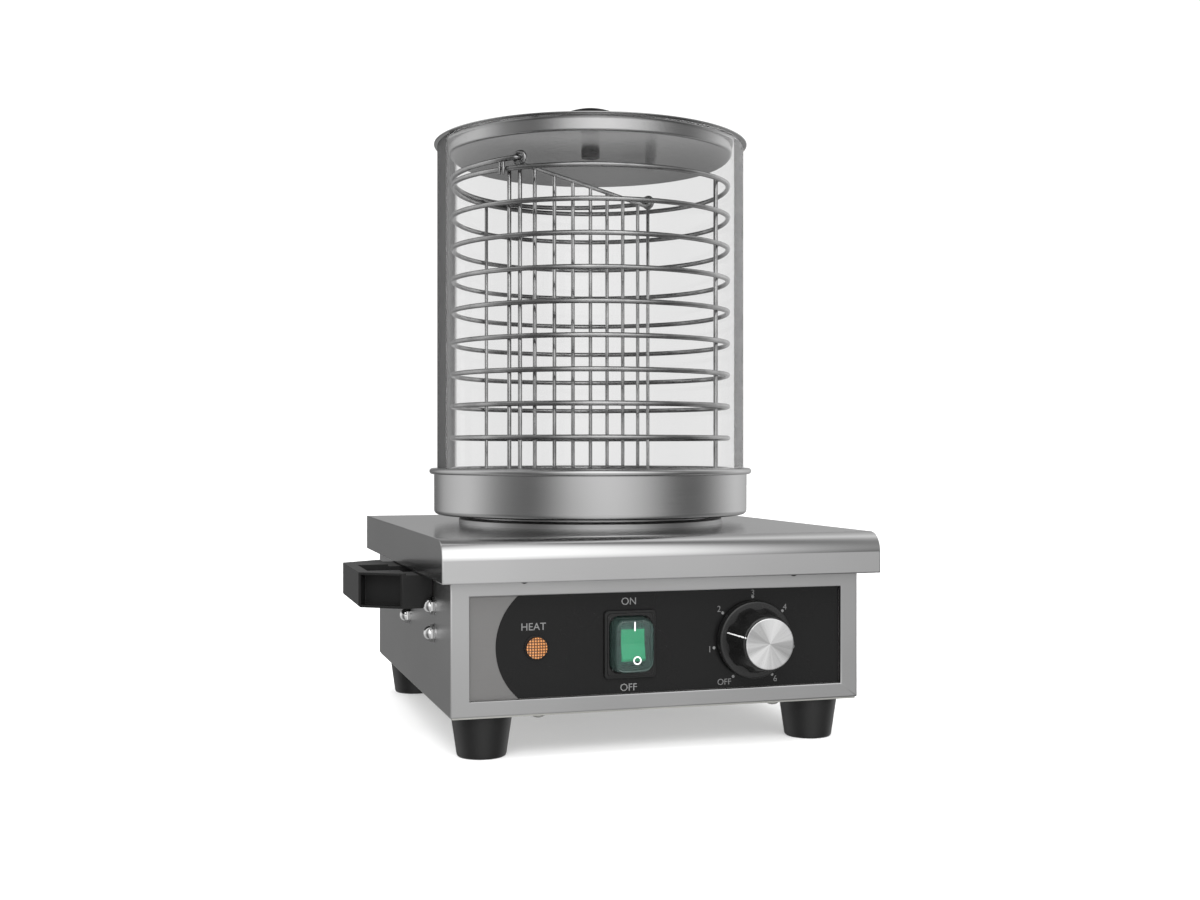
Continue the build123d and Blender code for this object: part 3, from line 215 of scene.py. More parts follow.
# shader nodes, and the groups that several finishes use


def setInputs(tree, node, inputs):
    # an input is given a value, or the socket it is linked to
    for label, value in inputs.items():
        if isinstance(value, bpy.types.NodeSocket):
            tree.links.new(value, node.inputs[label])
        else:
            node.inputs[label].default_value = value


def addNode(tree, kind, inputs=(), **settings):
    node = tree.nodes.new("ShaderNode" + kind)
    for label, value in settings.items():
        setattr(node, label, value)
    setInputs(tree, node, dict(inputs))
    return node


def mathNode(tree, operation, *values):
    return addNode(tree, "Math", enumerate(values), operation=operation).outputs[0]


def times(tree, first, second):
    return mathNode(tree, "MULTIPLY", first, second)


def ranged(tree, value, fromLow, fromHigh, toLow=0.0, toHigh=1.0):
    return addNode(tree, "MapRange", {"Value": value, "From Min": fromLow, "From Max": fromHigh,
                                      "To Min": toLow, "To Max": toHigh}).outputs[0]


def mixed(tree, share, first, second):
    return addNode(tree, "MixShader", {"Fac": share, 1: first, 2: second}).outputs[0]


def blended(tree, share, first, second):
    return addNode(tree, "Mix", {"Factor": share, "A": first, "B": second},
                   data_type="RGBA").outputs["Result"]


def noise(tree, place, scale, detail=2.0, rough=0.5):
    return addNode(tree, "TexNoise", {"Vector": place, "Scale": scale, "Detail": detail,
                                      "Roughness": rough}).outputs["Fac"]


def newGroup(name, numbers):
    # numbers: input name -> default; each group gives a fine Grain and a slow Cloud
    group = bpy.data.node_groups.new(name, "ShaderNodeTree")
    for label, default in numbers.items():
        kind = "NodeSocketVector" if isinstance(default, tuple) else "NodeSocketFloat"
        socket = group.interface.new_socket(name=label, in_out="INPUT", socket_type=kind)
        socket.default_value = default
    for label in ("Grain", "Cloud"):
        group.interface.new_socket(name=label, in_out="OUTPUT", socket_type="NodeSocketFloat")
    place = addNode(group, "TexCoord").outputs["Object"]
    return group, group.nodes.new("NodeGroupInput").outputs, place


def sealed(group, grain, cloud):
    outs = group.nodes.new("NodeGroupOutput").inputs
    group.links.new(grain, outs["Grain"])
    group.links.new(cloud, outs["Cloud"])
    return group


def offsets(group, ins, place):
    # object coordinates counted from the Centre input
    moved = addNode(group, "VectorMath", {0: place, 1: ins["Centre"]}, operation="SUBTRACT")
    return addNode(group, "SeparateXYZ", {0: moved.outputs[0]}).outputs


def distance(group, parts, other):
    # distance from the centre along X and one other axis
    return mathNode(group, "SQRT", mathNode(
        group, "ADD", *(times(group, parts[label], parts[label]) for label in ("X", other))))


def makeBrushed():
    # fine drawn lines: noise stretched by the Stretch vector, with slow variation along it
    group, ins, place = newGroup("brushedGrain", {"Stretch": (400.0, 8.0, 400.0), "Slow": 6.0})
    scaled = addNode(group, "VectorMath", {0: place, 1: ins["Stretch"]}, operation="MULTIPLY")
    return sealed(group, noise(group, scaled.outputs[0], 5.0, 6.0, 0.65),
                  noise(group, place, ins["Slow"], 3.0))


def makeSpun():
    # turned or spun lines: noise on distance from the stack's axis and on height
    group, ins, place = newGroup("spunGrain", {"Centre": (0.0, 0.01066, 0.0), "Fine": 900.0,
                                               "Slow": 5.0})
    parts = offsets(group, ins, place)
    turn = mathNode(group, "ARCTAN2", parts["Y"], parts["X"])
    lines = addNode(group, "CombineXYZ", {
        "X": times(group, distance(group, parts, "Y"), ins["Fine"]),
        "Y": times(group, turn, 1.5), "Z": times(group, parts["Z"], ins["Fine"])})
    return sealed(group, noise(group, lines.outputs[0], 2.0, 5.0, 0.6),
                  noise(group, place, ins["Slow"], 3.0))


def makeMoulded():
    # fine moulded texture with slow unevenness, for plastic and rubber
    group, ins, place = newGroup("mouldedSkin", {"Fine": 2500.0, "Slow": 18.0})
    return sealed(group, noise(group, place, ins["Fine"]), noise(group, place, ins["Slow"], 4.0))


def makeWaffleShade():
    # painted shade: square cells with dark lines along the valleys between the lens's pyramids, and
    # dark outside a round rim
    group, ins, place = newGroup("waffleValleyShade", {"Centre": (0.0, 0.0, 0.0), "Cell": 0.00155,
                                                 "Reach": 0.0058})
    parts = offsets(group, ins, place)
    waves = [mathNode(group, "SINE", times(group, mathNode(
        group, "DIVIDE", parts[label], ins["Cell"]), pi)) for label in "XZ"]
    cells = mathNode(group, "ABSOLUTE", times(group, *waves))
    within = mathNode(group, "LESS_THAN", distance(group, parts, "Z"), ins["Reach"])
    return sealed(group, noise(group, place, 900.0), times(group, cells, within))


def makeCapHighlights():
    # painted highlight: bright and dark sectors in the colour of a face turned on a lathe, standing
    # in for its reflection
    group, ins, place = newGroup("paintedCapHighlights", {"Centre": (0.0, 0.0, 0.0), "Spread": 1.5})
    parts = offsets(group, ins, place)
    safe = mathNode(group, "MAXIMUM", distance(group, parts, "Z"), 0.0001)
    east, north = (mathNode(group, "DIVIDE", parts[label], safe) for label in "XZ")
    turn = addNode(group, "CombineXYZ", {"X": times(group, east, ins["Spread"]),
                                         "Z": times(group, north, ins["Spread"])})
    highlightLobe = mathNode(group, "ABSOLUTE", mathNode(
        group, "ADD", times(group, east, 0.42), times(group, north, 0.9)))
    highlightLobe = times(group, times(group, highlightLobe, highlightLobe), 0.32)
    highlightStreaks = times(group, noise(group, turn.outputs[0], 1.6, 3.0), 0.72)
    return sealed(group, noise(group, place, 3000.0), mathNode(group, "ADD", highlightLobe, highlightStreaks))


def makeLitFace():
    # painted light: a mask that is one on the rocker's front face, painted bright green as lit, and
    # nought on its shoulders and sides, painted dark as shade
    group, ins, place = newGroup("paintedLitFace", {"Centre": (0.0, 0.0, 0.0), "Half": 0.0088})
    parts = offsets(group, ins, place)
    inside = mathNode(group, "LESS_THAN", mathNode(group, "ABSOLUTE", parts["Z"]), ins["Half"])
    ahead = mathNode(group, "LESS_THAN", parts["Y"], 0.0)
    return sealed(group, noise(group, place, 1200.0), times(group, inside, ahead))


brushedGroup, spunGroup, mouldedGroup = makeBrushed(), makeSpun(), makeMoulded()
waffleShadeGroup, capHighlightGroup, litFaceGroup = makeWaffleShade(), makeCapHighlights(), makeLitFace()


def colourOf(value):
    # a number is a grey
    return (*value, 1) if isinstance(value, tuple) else (value, value, value, 1)


def finish(name, group, settings, dark, light, rough, metallic, bump, depth=0.00002, coat=0.0,
           specular=0.5):
    # one Principled finish whose colour, gloss and relief follow a shader group; rough is the
    # least and the most, depth is the relief's in metres
    material = bpy.data.materials.new(name)
    material.use_nodes = True
    tree = material.node_tree
    pattern = addNode(tree, "Group", settings, node_tree=group).outputs
    relief = addNode(tree, "Bump", {"Strength": bump, "Distance": depth,
                                    "Height": pattern["Grain"]})
    setInputs(tree, tree.nodes["Principled BSDF"], {
        "Base Color": blended(tree, ranged(tree, pattern["Cloud"], 0.3, 0.7), colourOf(dark),
                              colourOf(light)),
        "Roughness": ranged(tree, pattern["Grain"], 0.25, 0.75, *rough),
        "Normal": relief.outputs["Normal"], "Metallic": metallic, "Specular IOR Level": specular,
        "Coat Weight": coat, "Coat Roughness": 0.08})
    return material


def brushed(name, stretch, slow, dark, light, rough, metallic=1.0, bump=0.10):
    return finish(name, brushedGroup, {"Stretch": stretch, "Slow": slow}, dark, light, rough,
                  metallic, bump)


def moulded(name, fine, slow, dark, light, rough, metallic, bump, depth=0.00002, specular=0.5):
    return finish(name, mouldedGroup, {"Fine": fine, "Slow": slow}, dark, light, rough, metallic,
                  bump, depth, specular=specular)


alongX, alongY = (9.0, 420.0, 420.0), (420.0, 9.0, 420.0)
bodyFinish = brushed("cabinetSteel", alongX, 9.0, 0.42, 0.47, (0.30, 0.38))
# the sides' darker grey is painted shade; their lengthwise brushing is real
shadedSideFinish = brushed("cabinetSideSteel", alongY, 9.0, 0.36, 0.41, (0.28, 0.34))
coverFinish = brushed("coverSteel", alongX, 7.0, 0.49, 0.55, (0.14, 0.20))
panelFinish = brushed("panelSteel", alongX, 8.0, (0.208, 0.205, 0.202), (0.233, 0.23, 0.227),
                      (0.42, 0.5), 0.85, 0.05)
panFinish = finish("panSteel", spunGroup, {"Slow": 6.0}, 0.42, 0.49, (0.18, 0.25), 1.0, 0.12)
lidFinish = finish("lidSteel", spunGroup, {"Slow": 6.0}, 0.35, 0.42, (0.12, 0.18), 1.0, 0.06)
plateFinish = finish("castPlate", spunGroup, {"Slow": 20.0, "Fine": 1400.0}, 0.36, 0.44,
                     (0.3, 0.4), 1.0, 0.2)
# the turned cap's colour carries painted highlight sectors
capFinish = finish("turnedCap", capHighlightGroup, {"Centre": (0.0557, 0.0, 0.0611)}, 0.46, 0.98,
                   (0.26, 0.34), 1.0, 0.03)
wireFinish = moulded("brightWire", 900.0, 60.0, 0.21, 0.40, (0.06, 0.14), 1.0, 0.05)
handleFinish = moulded("handlePlastic", 2600.0, 18.0, 0.006, 0.009, (0.36, 0.46), 0.0, 0.25,
                       0.00004, 0.28)
mattFinish = moulded("mattPlastic", 2600.0, 18.0, 0.006, 0.009, (0.42, 0.5), 0.0, 0.2, 0.00004,
                     0.05)
knobFinish = moulded("knobPlastic", 3000.0, 18.0, 0.006, 0.009, (0.24, 0.32), 0.0, 0.12, 0.00003,
                     0.55)
switchFinish = moulded("switchPlastic", 3000.0, 18.0, 0.005, 0.007, (0.24, 0.32), 0.0, 0.1,
                       0.00002, 0.35)
rubberFinish = moulded("footRubber", 1800.0, 18.0, 0.008, 0.012, (0.34, 0.44), 0.0, 0.3, 0.00005,
                       0.4)
filmFinish = moulded("panelFilm", 3500.0, 10.0, 0.0055, 0.0065, (0.14, 0.18), 0.0, 0.03, 0.00001,
                     0.22)
zincFinish = moulded("platedSheet", 500.0, 25.0, (0.42, 0.42, 0.40), (0.52, 0.52, 0.49),
                     (0.3, 0.42), 0.9, 0.1)
nutFinish = moulded("polishedNut", 700.0, 60.0, 0.62, 0.75, (0.08, 0.14), 1.0, 0.04)
darkScrewFinish = moulded("blackenedScrew", 1500.0, 60.0, 0.02, 0.04, (0.3, 0.4), 0.6, 0.1)
elementFinish = moulded("heatedTube", 600.0, 40.0, (0.10, 0.085, 0.075), (0.2, 0.18, 0.16),
                        (0.4, 0.55), 0.9, 0.3)
brassFinish = moulded("stampedBrass", 1200.0, 50.0, (0.55, 0.40, 0.15), (0.66, 0.50, 0.22),
                      (0.25, 0.35), 1.0, 0.1)
copperFinish = moulded("drawnCopper", 1200.0, 50.0, (0.42, 0.18, 0.08), (0.55, 0.26, 0.13),
                       (0.3, 0.4), 1.0, 0.1)
paleFinish = moulded("palePlastic", 2000.0, 20.0, (0.60, 0.57, 0.48), (0.66, 0.63, 0.54),
                     (0.45, 0.55), 0.0, 0.15)
print("finishes made:", len(bpy.data.materials))


def clearFinish(name, dark, light, rough, ior, slow, clear=1.0):
    # a see-through moulding or glass; lamps reach what is behind it
    material = moulded(name, 300.0, slow, dark, light, rough, 0.0, 0.0, 0.00001)
    tree = material.node_tree
    shader = tree.nodes["Principled BSDF"]
    setInputs(tree, shader, {"Transmission Weight": clear, "IOR": ior})
    rays = addNode(tree, "LightPath").outputs
    seen = mathNode(tree, "MAXIMUM", rays["Is Camera Ray"], rays["Is Transmission Ray"])
    choose = mixed(tree, seen, addNode(tree, "BsdfTransparent").outputs[0], shader.outputs[0])
    tree.links.new(choose, tree.nodes["Material Output"].inputs["Surface"])
    return material


def glassWithPaintedEdgeShade(material, ior, dark):
    # little mirror, so that what stands inside stays clear; where the wall is seen along its length
    # on the side away from the light, a dark diffuse is mixed in as painted shade
    tree = material.node_tree
    shader = tree.nodes["Principled BSDF"]
    choose = tree.nodes["Material Output"].inputs["Surface"].links[0].from_node
    bent = addNode(tree, "BsdfRefraction", {
        "IOR": ior, "Roughness": 0.0, "Color": shader.inputs["Base Color"].links[0].from_socket})
    clear = mixed(tree, 0.65, shader.outputs[0], bent.outputs[0])
    parts = addNode(tree, "SeparateXYZ", {0: addNode(tree, "TexCoord").outputs["Object"]}).outputs
    # painted shade: a dark diffuse on the left half where the wall is seen edge-on
    along = ranged(tree, addNode(tree, "LayerWeight").outputs["Facing"], 0.62, 0.68, 0.0, 0.92)
    away = ranged(tree, parts["X"], -0.05, 0.05, 1.0, 0.0)
    shade = addNode(tree, "BsdfDiffuse", {"Color": colourOf(dark)}).outputs[0]
    tree.links.new(mixed(tree, times(tree, along, away), clear, shade), choose.inputs[2])


glassFinish = clearFinish("clearGlass", 0.98, 0.99, (0.0, 0.004), 1.47, 3.0)
glassWithPaintedEdgeShade(glassFinish, 1.47, 0.065)
bootFinish = clearFinish("clearBoot", (0.32, 0.54, 0.48), (0.38, 0.60, 0.54), (0.04, 0.08), 1.42,
                         20.0, 0.975)

# base cabinet

sides = (("left", -1), ("right", 1))
body = {"softFold": 0.5, "sideTurn": 0.7}
bodyPiece = finished(softened("body_shell", body["softFold"]), "bodyShell", "base", bodyFinish,
                     ["body_shell"])
# the side walls are brushed lengthwise and are a darker grey, painted shade: they take the second
# slot
bodyPiece.data.materials.append(shadedSideFinish)
for polygon in bodyPiece.data.polygons:
    if abs(polygon.normal.x) > body["sideTurn"]:
        polygon.material_index = 1

foot = {"top": 17.1, "base": 13.9, "height": 24.1, "x": 99.1, "front": -110.3, "rear": 110.3,
        "collar": 1.0, "round": 1.6, "edge": 0.3, "well": 6.4, "wellMouth": 7.0, "depth": 5.0}
footProfile = (
    [(0, foot["height"]), (foot["top"] - foot["edge"], foot["height"]),
     (foot["top"], foot["height"] - foot["edge"]), (foot["top"], foot["height"] - foot["collar"]),
     (foot["base"] + 0.12, foot["round"] + 0.6)]
    + arcPoints((foot["base"] - foot["round"], foot["round"]), foot["round"], 0, -90, 5)
    + [(foot["wellMouth"], 0.0), (foot["well"], 0.8), (foot["well"], foot["depth"]),
       (0, foot["depth"])]
)
for endName in ("front", "rear"):
    for sideName, side in sides:
        finished(turned(footProfile, (side * foot["x"], foot[endName], 0), steps=64),
                 f"foot_{endName}_{sideName}_rubber", "base", rubberFinish,
                 [f"foot_{endName}_{sideName}"])

finished(softened("cover", 0.45, 2, 50.0), "coverSheet", "base", coverFinish, ["cover"],
         crease=30)
print("cabinet made")

# front panel and its controls

panel = {"film": 0.4, "ink": 0.06}
finished(softened("front_panel", 0.15), "frontPanel", "base", panelFinish, ["front_panel"])
finished(softened("panel_overlay", 0.08, 1), "panelFilmSheet", "base", filmFinish,
         ["panel_overlay"])

whiteInk, dimInk, brightInk = (
    finish(name, mouldedGroup, {"Fine": 2500.0, "Slow": 200.0}, value * 0.92, value, (0.4, 0.5),
           0.0, 0.05, 0.00001, specular=0.3)
    for name, value in (("whiteInk", 0.18), ("dimInk", 0.14), ("brightInk", 0.86)))
words = {"size": 4.2, "smallSize": 3.6, "capital": 0.73,
         "face": levels["panelFace"] - panel["film"] - panel["ink"] / 2 + 0.005}


def stoodAt(bm, place):
    # what is drawn flat on the ground faces the front
    bmesh.ops.rotate(bm, cent=(0, 0, 0), matrix=Matrix.Rotation(radians(90), 3, "X"),
                     verts=bm.verts)
    bmesh.ops.translate(bm, vec=place, verts=bm.verts)


def lettering(text, height, x, z, name, material):
    # flat print: text made a mesh, then given its place
    curve = bpy.data.curves.new(name + "Text", "FONT")
    curve.body = text
    curve.size = height / words["capital"]
    curve.align_x, curve.align_y = "CENTER", "CENTER"
    curve.extrude = panel["ink"] / 2
    holder = shown(name + "Text", curve)
    bpy.context.view_layer.update()
    flat = bpy.data.meshes.new_from_object(holder.evaluated_get(
        bpy.context.evaluated_depsgraph_get()))
    bpy.data.objects.remove(holder)
    bm = bmesh.new()
    bm.from_mesh(flat)
    xs = [v.co.x for v in bm.verts]
    ys = [v.co.y for v in bm.verts]
    bmesh.ops.translate(bm, vec=Vector((-(min(xs) + max(xs)) / 2, -(min(ys) + max(ys)) / 2, 0)),
                        verts=bm.verts)
    stoodAt(bm, Vector((x, words["face"], z)))
    bmesh.ops.remove_doubles(bm, verts=bm.verts, dist=0.0005)
    return finished(bm, name, "base", material, crease=20)


for text, x, z in (("HEAT", -74.0, 72.7), ("ON", -19.2, 85.0), ("OFF", -19.3, 36.9)):
    lettering(text, words["size"], x, z, f"print_{text.lower()}", whiteInk)
for text, x, z in (("1", 29.3, 56.1), ("2", 34.9, 78.9), ("3", 55.7, 87.6), ("4", 75.7, 78.8),
                   ("5", 80.9, 56.3), ("6", 69.7, 37.7), ("OFF", 38.2, 37.2)):
    lettering(text, words["smallSize"], x, z, f"print_dial_{text.lower()}", dimInk)
dial = {"x": 55.7, "z": 61.0, "dotCircle": 24.2, "dotRadius": 0.85}
dots = bmesh.new()
for angle in range(-150, 151, 50):
    a = radians(angle)
    spot = Vector((dial["x"] + dial["dotCircle"] * sin(a), words["face"],
                   dial["z"] + dial["dotCircle"] * cos(a)))
    inkHalf = Vector((0, panel["ink"] / 2, 0))
    addRod(dots, spot + inkHalf, spot - inkHalf, dial["dotRadius"], 20)
finished(dots, "print_dial_dots", "base", whiteInk)

# lamp: a plated rim, an amber lens with a waffle of small pyramids
lamp = {"x": -72.7, "lens": 6.2, "rim": 6.8, "bore": 5.5, "lip": 0.4, "cell": 1.55, "cells": 8,
        "pyramid": 0.42, "dome": 0.75, "depth": 2.2, "margin": 0.35, "cuts": 48}
lampCentre = Vector((lamp["x"], levels["panelFace"], levels["control"]))
rimProfile = ([(lamp["bore"], lamp["lip"]), (lamp["rim"], lamp["lip"])]
              + arcPoints((lamp["rim"] - lamp["lip"], 0.85), lamp["lip"], 0, 90, 4)
              + arcPoints((lamp["lens"] - 0.05, 0.85), lamp["lip"], 90, 180, 4)
              + [(lamp["bore"], 0.85)])
finished(turned(rimProfile, lampCentre, 64, axis=(0, -1, 0), closed=True), "lampRim", "base",
         switchFinish)


def makeLens():
    # a grid of small pyramids cut round and gently domed
    bm = bmesh.new()
    radius = lamp["lens"] - lamp["margin"]
    bmesh.ops.create_grid(bm, x_segments=lamp["cells"], y_segments=lamp["cells"],
                          size=lamp["cells"] * lamp["cell"] / 2)
    poked = bmesh.ops.poke(bm, faces=list(bm.faces), offset=0.0)
    bmesh.ops.translate(bm, vec=Vector((0, 0, lamp["pyramid"])), verts=poked["verts"])
    for turn in range(lamp["cuts"]):
        a = 2 * pi * turn / lamp["cuts"]
        bmesh.ops.bisect_plane(bm, geom=bm.verts[:] + bm.edges[:] + bm.faces[:], dist=1e-5,
                               plane_co=(radius * cos(a), radius * sin(a), 0),
                               plane_no=(cos(a), sin(a), 0), clear_outer=True)
    rim = [e for e in bm.edges if len(e.link_faces) == 1]
    moved = bmesh.ops.extrude_edge_only(bm, edges=rim)["geom"]
    low = {g for g in moved if isinstance(g, bmesh.types.BMVert)}
    for vert in bm.verts:
        if vert in low:
            vert.co.z = -lamp["depth"]
        else:
            vert.co.z += lamp["dome"] * (1 - (vert.co.xy.length / radius) ** 2)
    bmesh.ops.edgeloop_fill(bm, edges=[g for g in moved if isinstance(g, bmesh.types.BMEdge)
                                       and set(g.verts) <= low])
    stoodAt(bm, lampCentre - Vector((0, lamp["depth"] + lamp["margin"], 0)))
    return bm


# the amber lens is darkened along the valleys between its pyramids and at its rim: painted shade
amberFinish = finish("amberLens", waffleShadeGroup,
                     {"Centre": (lamp["x"] * millimetre, 0.0, levels["control"] * millimetre),
                      "Cell": lamp["cell"] * millimetre},
                     (0.08, 0.03, 0.011), (0.56, 0.235, 0.075), (0.12, 0.2), 0.0, 0.05, 0.00001,
                     coat=0.3)
finished(makeLens(), "lampLens", "base", amberFinish, ["lamp_lens"], crease=12,
         normals=True)

# rocker switch: frame, clear boot, green rocker with its two marks
switch = {"x": -18.8, "frameWidth": 30.1, "frameHeight": 38.0, "bootWidth": 24.4,
          "bootHeight": 31.4, "bootFrontWidth": 22.8, "bootFrontHeight": 29.2, "bootCorner": 6.0,
          "bootRound": 1.3, "wall": 0.7, "rockerFace": -135.0}


def roundedLoop(width, height, corner, out, steps=8):
    # outline of a rounded rectangle facing the front, set out from the panel's face
    made = []
    for cornerIndex, (sx, sz) in enumerate(((1, 1), (-1, 1), (-1, -1), (1, -1))):
        for i in range(steps + 1):
            a = radians(90 * cornerIndex + 90 * i / steps)
            made.append(Vector((switch["x"] + sx * (width / 2 - corner) + corner * cos(a),
                                levels["panelFace"] - out,
                                levels["control"] + sz * (height / 2 - corner) + corner * sin(a))))
    return made


def loftLoops(loops, capLast=True):
    # bridged outlines, one behind the other
    bm = bmesh.new()
    rings = []
    for loop in loops:
        verts = [bm.verts.new(p) for p in loop]
        rings.append([bm.edges.new(pair) for pair in zip(verts, verts[1:] + verts[:1])])
    for low, high in zip(rings, rings[1:]):
        bmesh.ops.bridge_loops(bm, edges=low + high)
    if capLast:
        bmesh.ops.edgeloop_fill(bm, edges=rings[-1])
    bmesh.ops.recalc_face_normals(bm, faces=bm.faces)
    return bm


bootLoops = []
for share, out in ((0.0, 0.5), (0.0, 2.0), (0.45, 6.0), (0.85, 9.2)):
    bootLoops.append(roundedLoop(
        switch["bootWidth"] + (switch["bootFrontWidth"] - switch["bootWidth"]) * share,
        switch["bootHeight"] + (switch["bootFrontHeight"] - switch["bootHeight"]) * share,
        switch["bootCorner"], out))
for angle in (20, 45, 70, 88):
    inset = switch["bootRound"] * (1 - cos(radians(angle)))
    bootLoops.append(roundedLoop(
        switch["bootFrontWidth"] - 2 * inset, switch["bootFrontHeight"] - 2 * inset,
        switch["bootCorner"] - inset, 9.35 + switch["bootRound"] * sin(radians(angle))))
bootPiece = finished(loftLoops(bootLoops), "switchBoot", "base", bootFinish, ["switch_boot"],
                     crease=50)
wall = bootPiece.modifiers.new("wall", "SOLIDIFY")
wall.thickness, wall.offset = switch["wall"] * millimetre, -1.0

# each row: what the frame's or the boot's size is taken from, what is added, corner, reach
frameRows = (("frame", 0, 2.2, 0.4), ("frame", 0, 2.2, 1.9), ("frame", -0.5, 2.0, 2.2),
             ("frame", -3.0, 2.0, 2.25), ("frame", -3.4, 2.0, 2.7), ("boot", 1.0, 5.6, 2.8),
             ("boot", 0.3, 5.4, 2.5), ("boot", 0.3, 5.4, 0.4))
finished(loftLoops([roundedLoop(switch[label + "Width"] + more, switch[label + "Height"] + more,
                                corner, out) for label, more, corner, out in frameRows],
                   capLast=False),
         "switchFrame", "base", switchFinish, ["boot_frame"], crease=30)

# the rocker's green is painted light: bright on its front face, dark as painted shade on its
# shoulders and sides
greenFinish = finish("greenRocker", litFaceGroup,
                     {"Centre": (switch["x"] * millimetre, switch["rockerFace"] * millimetre,
                                 levels["control"] * millimetre)},
                     (0.012, 0.045, 0.036), (0.008, 0.29, 0.13), (0.16, 0.22), 0.0, 0.04, 0.00001,
                     coat=0.3)
finished(softened("rocker", 0.35, 3, 30.0), "rockerGreen", "rocker", greenFinish, ["rocker"],
         crease=20)

# marks printed on the boot's front
mark = {"out": 10.63, "thick": 0.06, "barX": -18.9, "barLow": 69.5, "barHigh": 74.5,
        "barWidth": 0.75, "ringX": -17.5, "ringZ": 53.1, "ring": 2.35, "stroke": 0.72}
markFace = levels["panelFace"] - mark["out"]
markPlace = Vector((mark["barX"], markFace - mark["thick"] / 2,
                    (mark["barLow"] + mark["barHigh"]) / 2))
markBar = bmesh.new()
bmesh.ops.create_cube(markBar, size=1.0, matrix=Matrix.LocRotScale(
    markPlace, None, (mark["barWidth"], mark["thick"], mark["barHigh"] - mark["barLow"])))
finished(markBar, "rocker_mark_on", "base", brightInk)
ringProfile = [(mark["ring"], 0), (mark["ring"], mark["thick"]),
               (mark["ring"] - mark["stroke"], mark["thick"]), (mark["ring"] - mark["stroke"], 0)]
finished(turned(ringProfile, (mark["ringX"], markFace, mark["ringZ"]), 48, axis=(0, -1, 0),
                closed=True), "rocker_mark_off", "base", brightInk)
print("controls made")

# dial knob: skirt, fluted grip, cap and pointer line
knob = {"x": 55.7, "gap": 1.0, "skirt": 22.3, "skirtFront": 6.0, "gripBase": 18.8, "gripTop": 15.2,
        "gripFront": 23.2, "flutes": 7, "fluteBase": 17.2, "fluteTop": 14.95, "fluteRadius": 9.0,
        "skirtBore": 18.0, "skirtDeep": 4.0, "skirtEdge": 0.5, "skirtRound": 1.2, "seat": 14.0,
        "lip": 0.5, "pointer": -75.0, "cap": 14.4, "capFront": 25.1, "capEdge": 0.4, "line": 0.45}
knobCentre = Vector((knob["x"], levels["panelFace"], levels["control"]))
skirtProfile = ([(knob["skirtBore"], knob["skirtDeep"]), (knob["skirtBore"], knob["gap"]),
                 (knob["skirt"] - knob["skirtEdge"], knob["gap"])]
                + arcPoints((knob["skirt"] - knob["skirtEdge"], knob["gap"] + knob["skirtEdge"]),
                            knob["skirtEdge"], -90, 0, 3)
                + arcPoints((knob["skirt"] - knob["skirtRound"],
                             knob["skirtFront"] - knob["skirtRound"]), knob["skirtRound"], 0, 90, 6)
                + [(knob["seat"], knob["skirtFront"] + 0.2), (0.0, knob["skirtFront"] + 0.2)])


def makeGrip():
    # tapered drum whose wall is drawn in at each flute
    bm = bmesh.new()
    length = knob["gripFront"] - knob["skirtFront"]
    place = (Matrix.Translation(knobCentre - Vector((0, knob["skirtFront"] + length / 2, 0)))
             @ Matrix.Rotation(radians(90), 4, "X"))
    bmesh.ops.create_cone(bm, cap_ends=True, cap_tris=False, segments=24 * knob["flutes"],
                          depth=length, radius1=knob["gripBase"], radius2=knob["gripTop"],
                          matrix=place)
    step = 2 * pi / knob["flutes"]
    front = {v for v in bm.verts if knobCentre.y - v.co.y > knob["gripFront"] - knob["lip"]}
    for vert in bm.verts:
        offset = vert.co - knobCentre
        away = (atan2(offset.x, offset.z) - radians(knob["pointer"])) % step - step / 2
        far = knob["fluteTop" if vert in front else "fluteBase"] + knob["fluteRadius"]
        inside = knob["fluteRadius"] ** 2 - (far * sin(away)) ** 2
        radius = sqrt(offset.x ** 2 + offset.z ** 2)
        if inside > 0:
            scale = min(1.0, (far * cos(away) - sqrt(inside)) / radius)
            vert.co.x = knobCentre.x + offset.x * scale
            vert.co.z = knobCentre.z + offset.z * scale
    bevelEdges(bm, [e for e in bm.edges if set(e.verts) <= front], 0.6, 3, clamped=True)
    return bm


finished(joined(makeGrip(), turned(skirtProfile, knobCentre, 96, axis=(0, -1, 0))), "knobGrip",
         "knob", knobFinish, ["knob_body"], crease=32)
capProfile = ([(0, knob["gripFront"] - 1.0), (knob["cap"], knob["gripFront"] - 1.0)]
              + arcPoints((knob["cap"] - knob["capEdge"], knob["capFront"] - knob["capEdge"]),
                          knob["capEdge"], 0, 90, 4)
              + [(0.6, knob["capFront"] - 0.02), (0, knob["capFront"] - 0.12)])
finished(turned(capProfile, knobCentre, 96, axis=(0, -1, 0)), "knobCap", "knob", capFinish,
         ["knob_cap"], crease=30)

# raised white line up the lobe that points to the setting
pointerWay = Vector((sin(radians(knob["pointer"])), 0, cos(radians(knob["pointer"]))))
pointerStart = (knobCentre + pointerWay * (knob["gripBase"] - 0.35)
                - Vector((0, knob["skirtFront"] + 0.4, 0)))
pointerEnd = knobCentre + pointerWay * knob["gripTop"] - Vector((0, knob["gripFront"] - 0.6, 0))
pointerMesh = addRod(bmesh.new(), pointerStart, pointerEnd, knob["line"], 8)
pointerTop = pointerEnd + Vector((0, -0.55, 0)) - pointerWay * 0.1
addRod(pointerMesh, pointerTop, pointerTop - pointerWay * 0.7, 0.4, 8)
finished(pointerMesh, "knobPointer", "knob", brightInk)

# side handles and small fasteners

for sideName, side in sides:
    finished(softened(f"handle_{sideName}", 0.7, 3), f"handleMoulding_{sideName}", "base",
             handleFinish, [f"handle_{sideName}"])

fastener = {"domeRadius": 4.2, "hexRadius": 5.0, "hexThick": 2.2, "rise": 6.3, "washer": 5.5,
            "washerThick": 0.35}


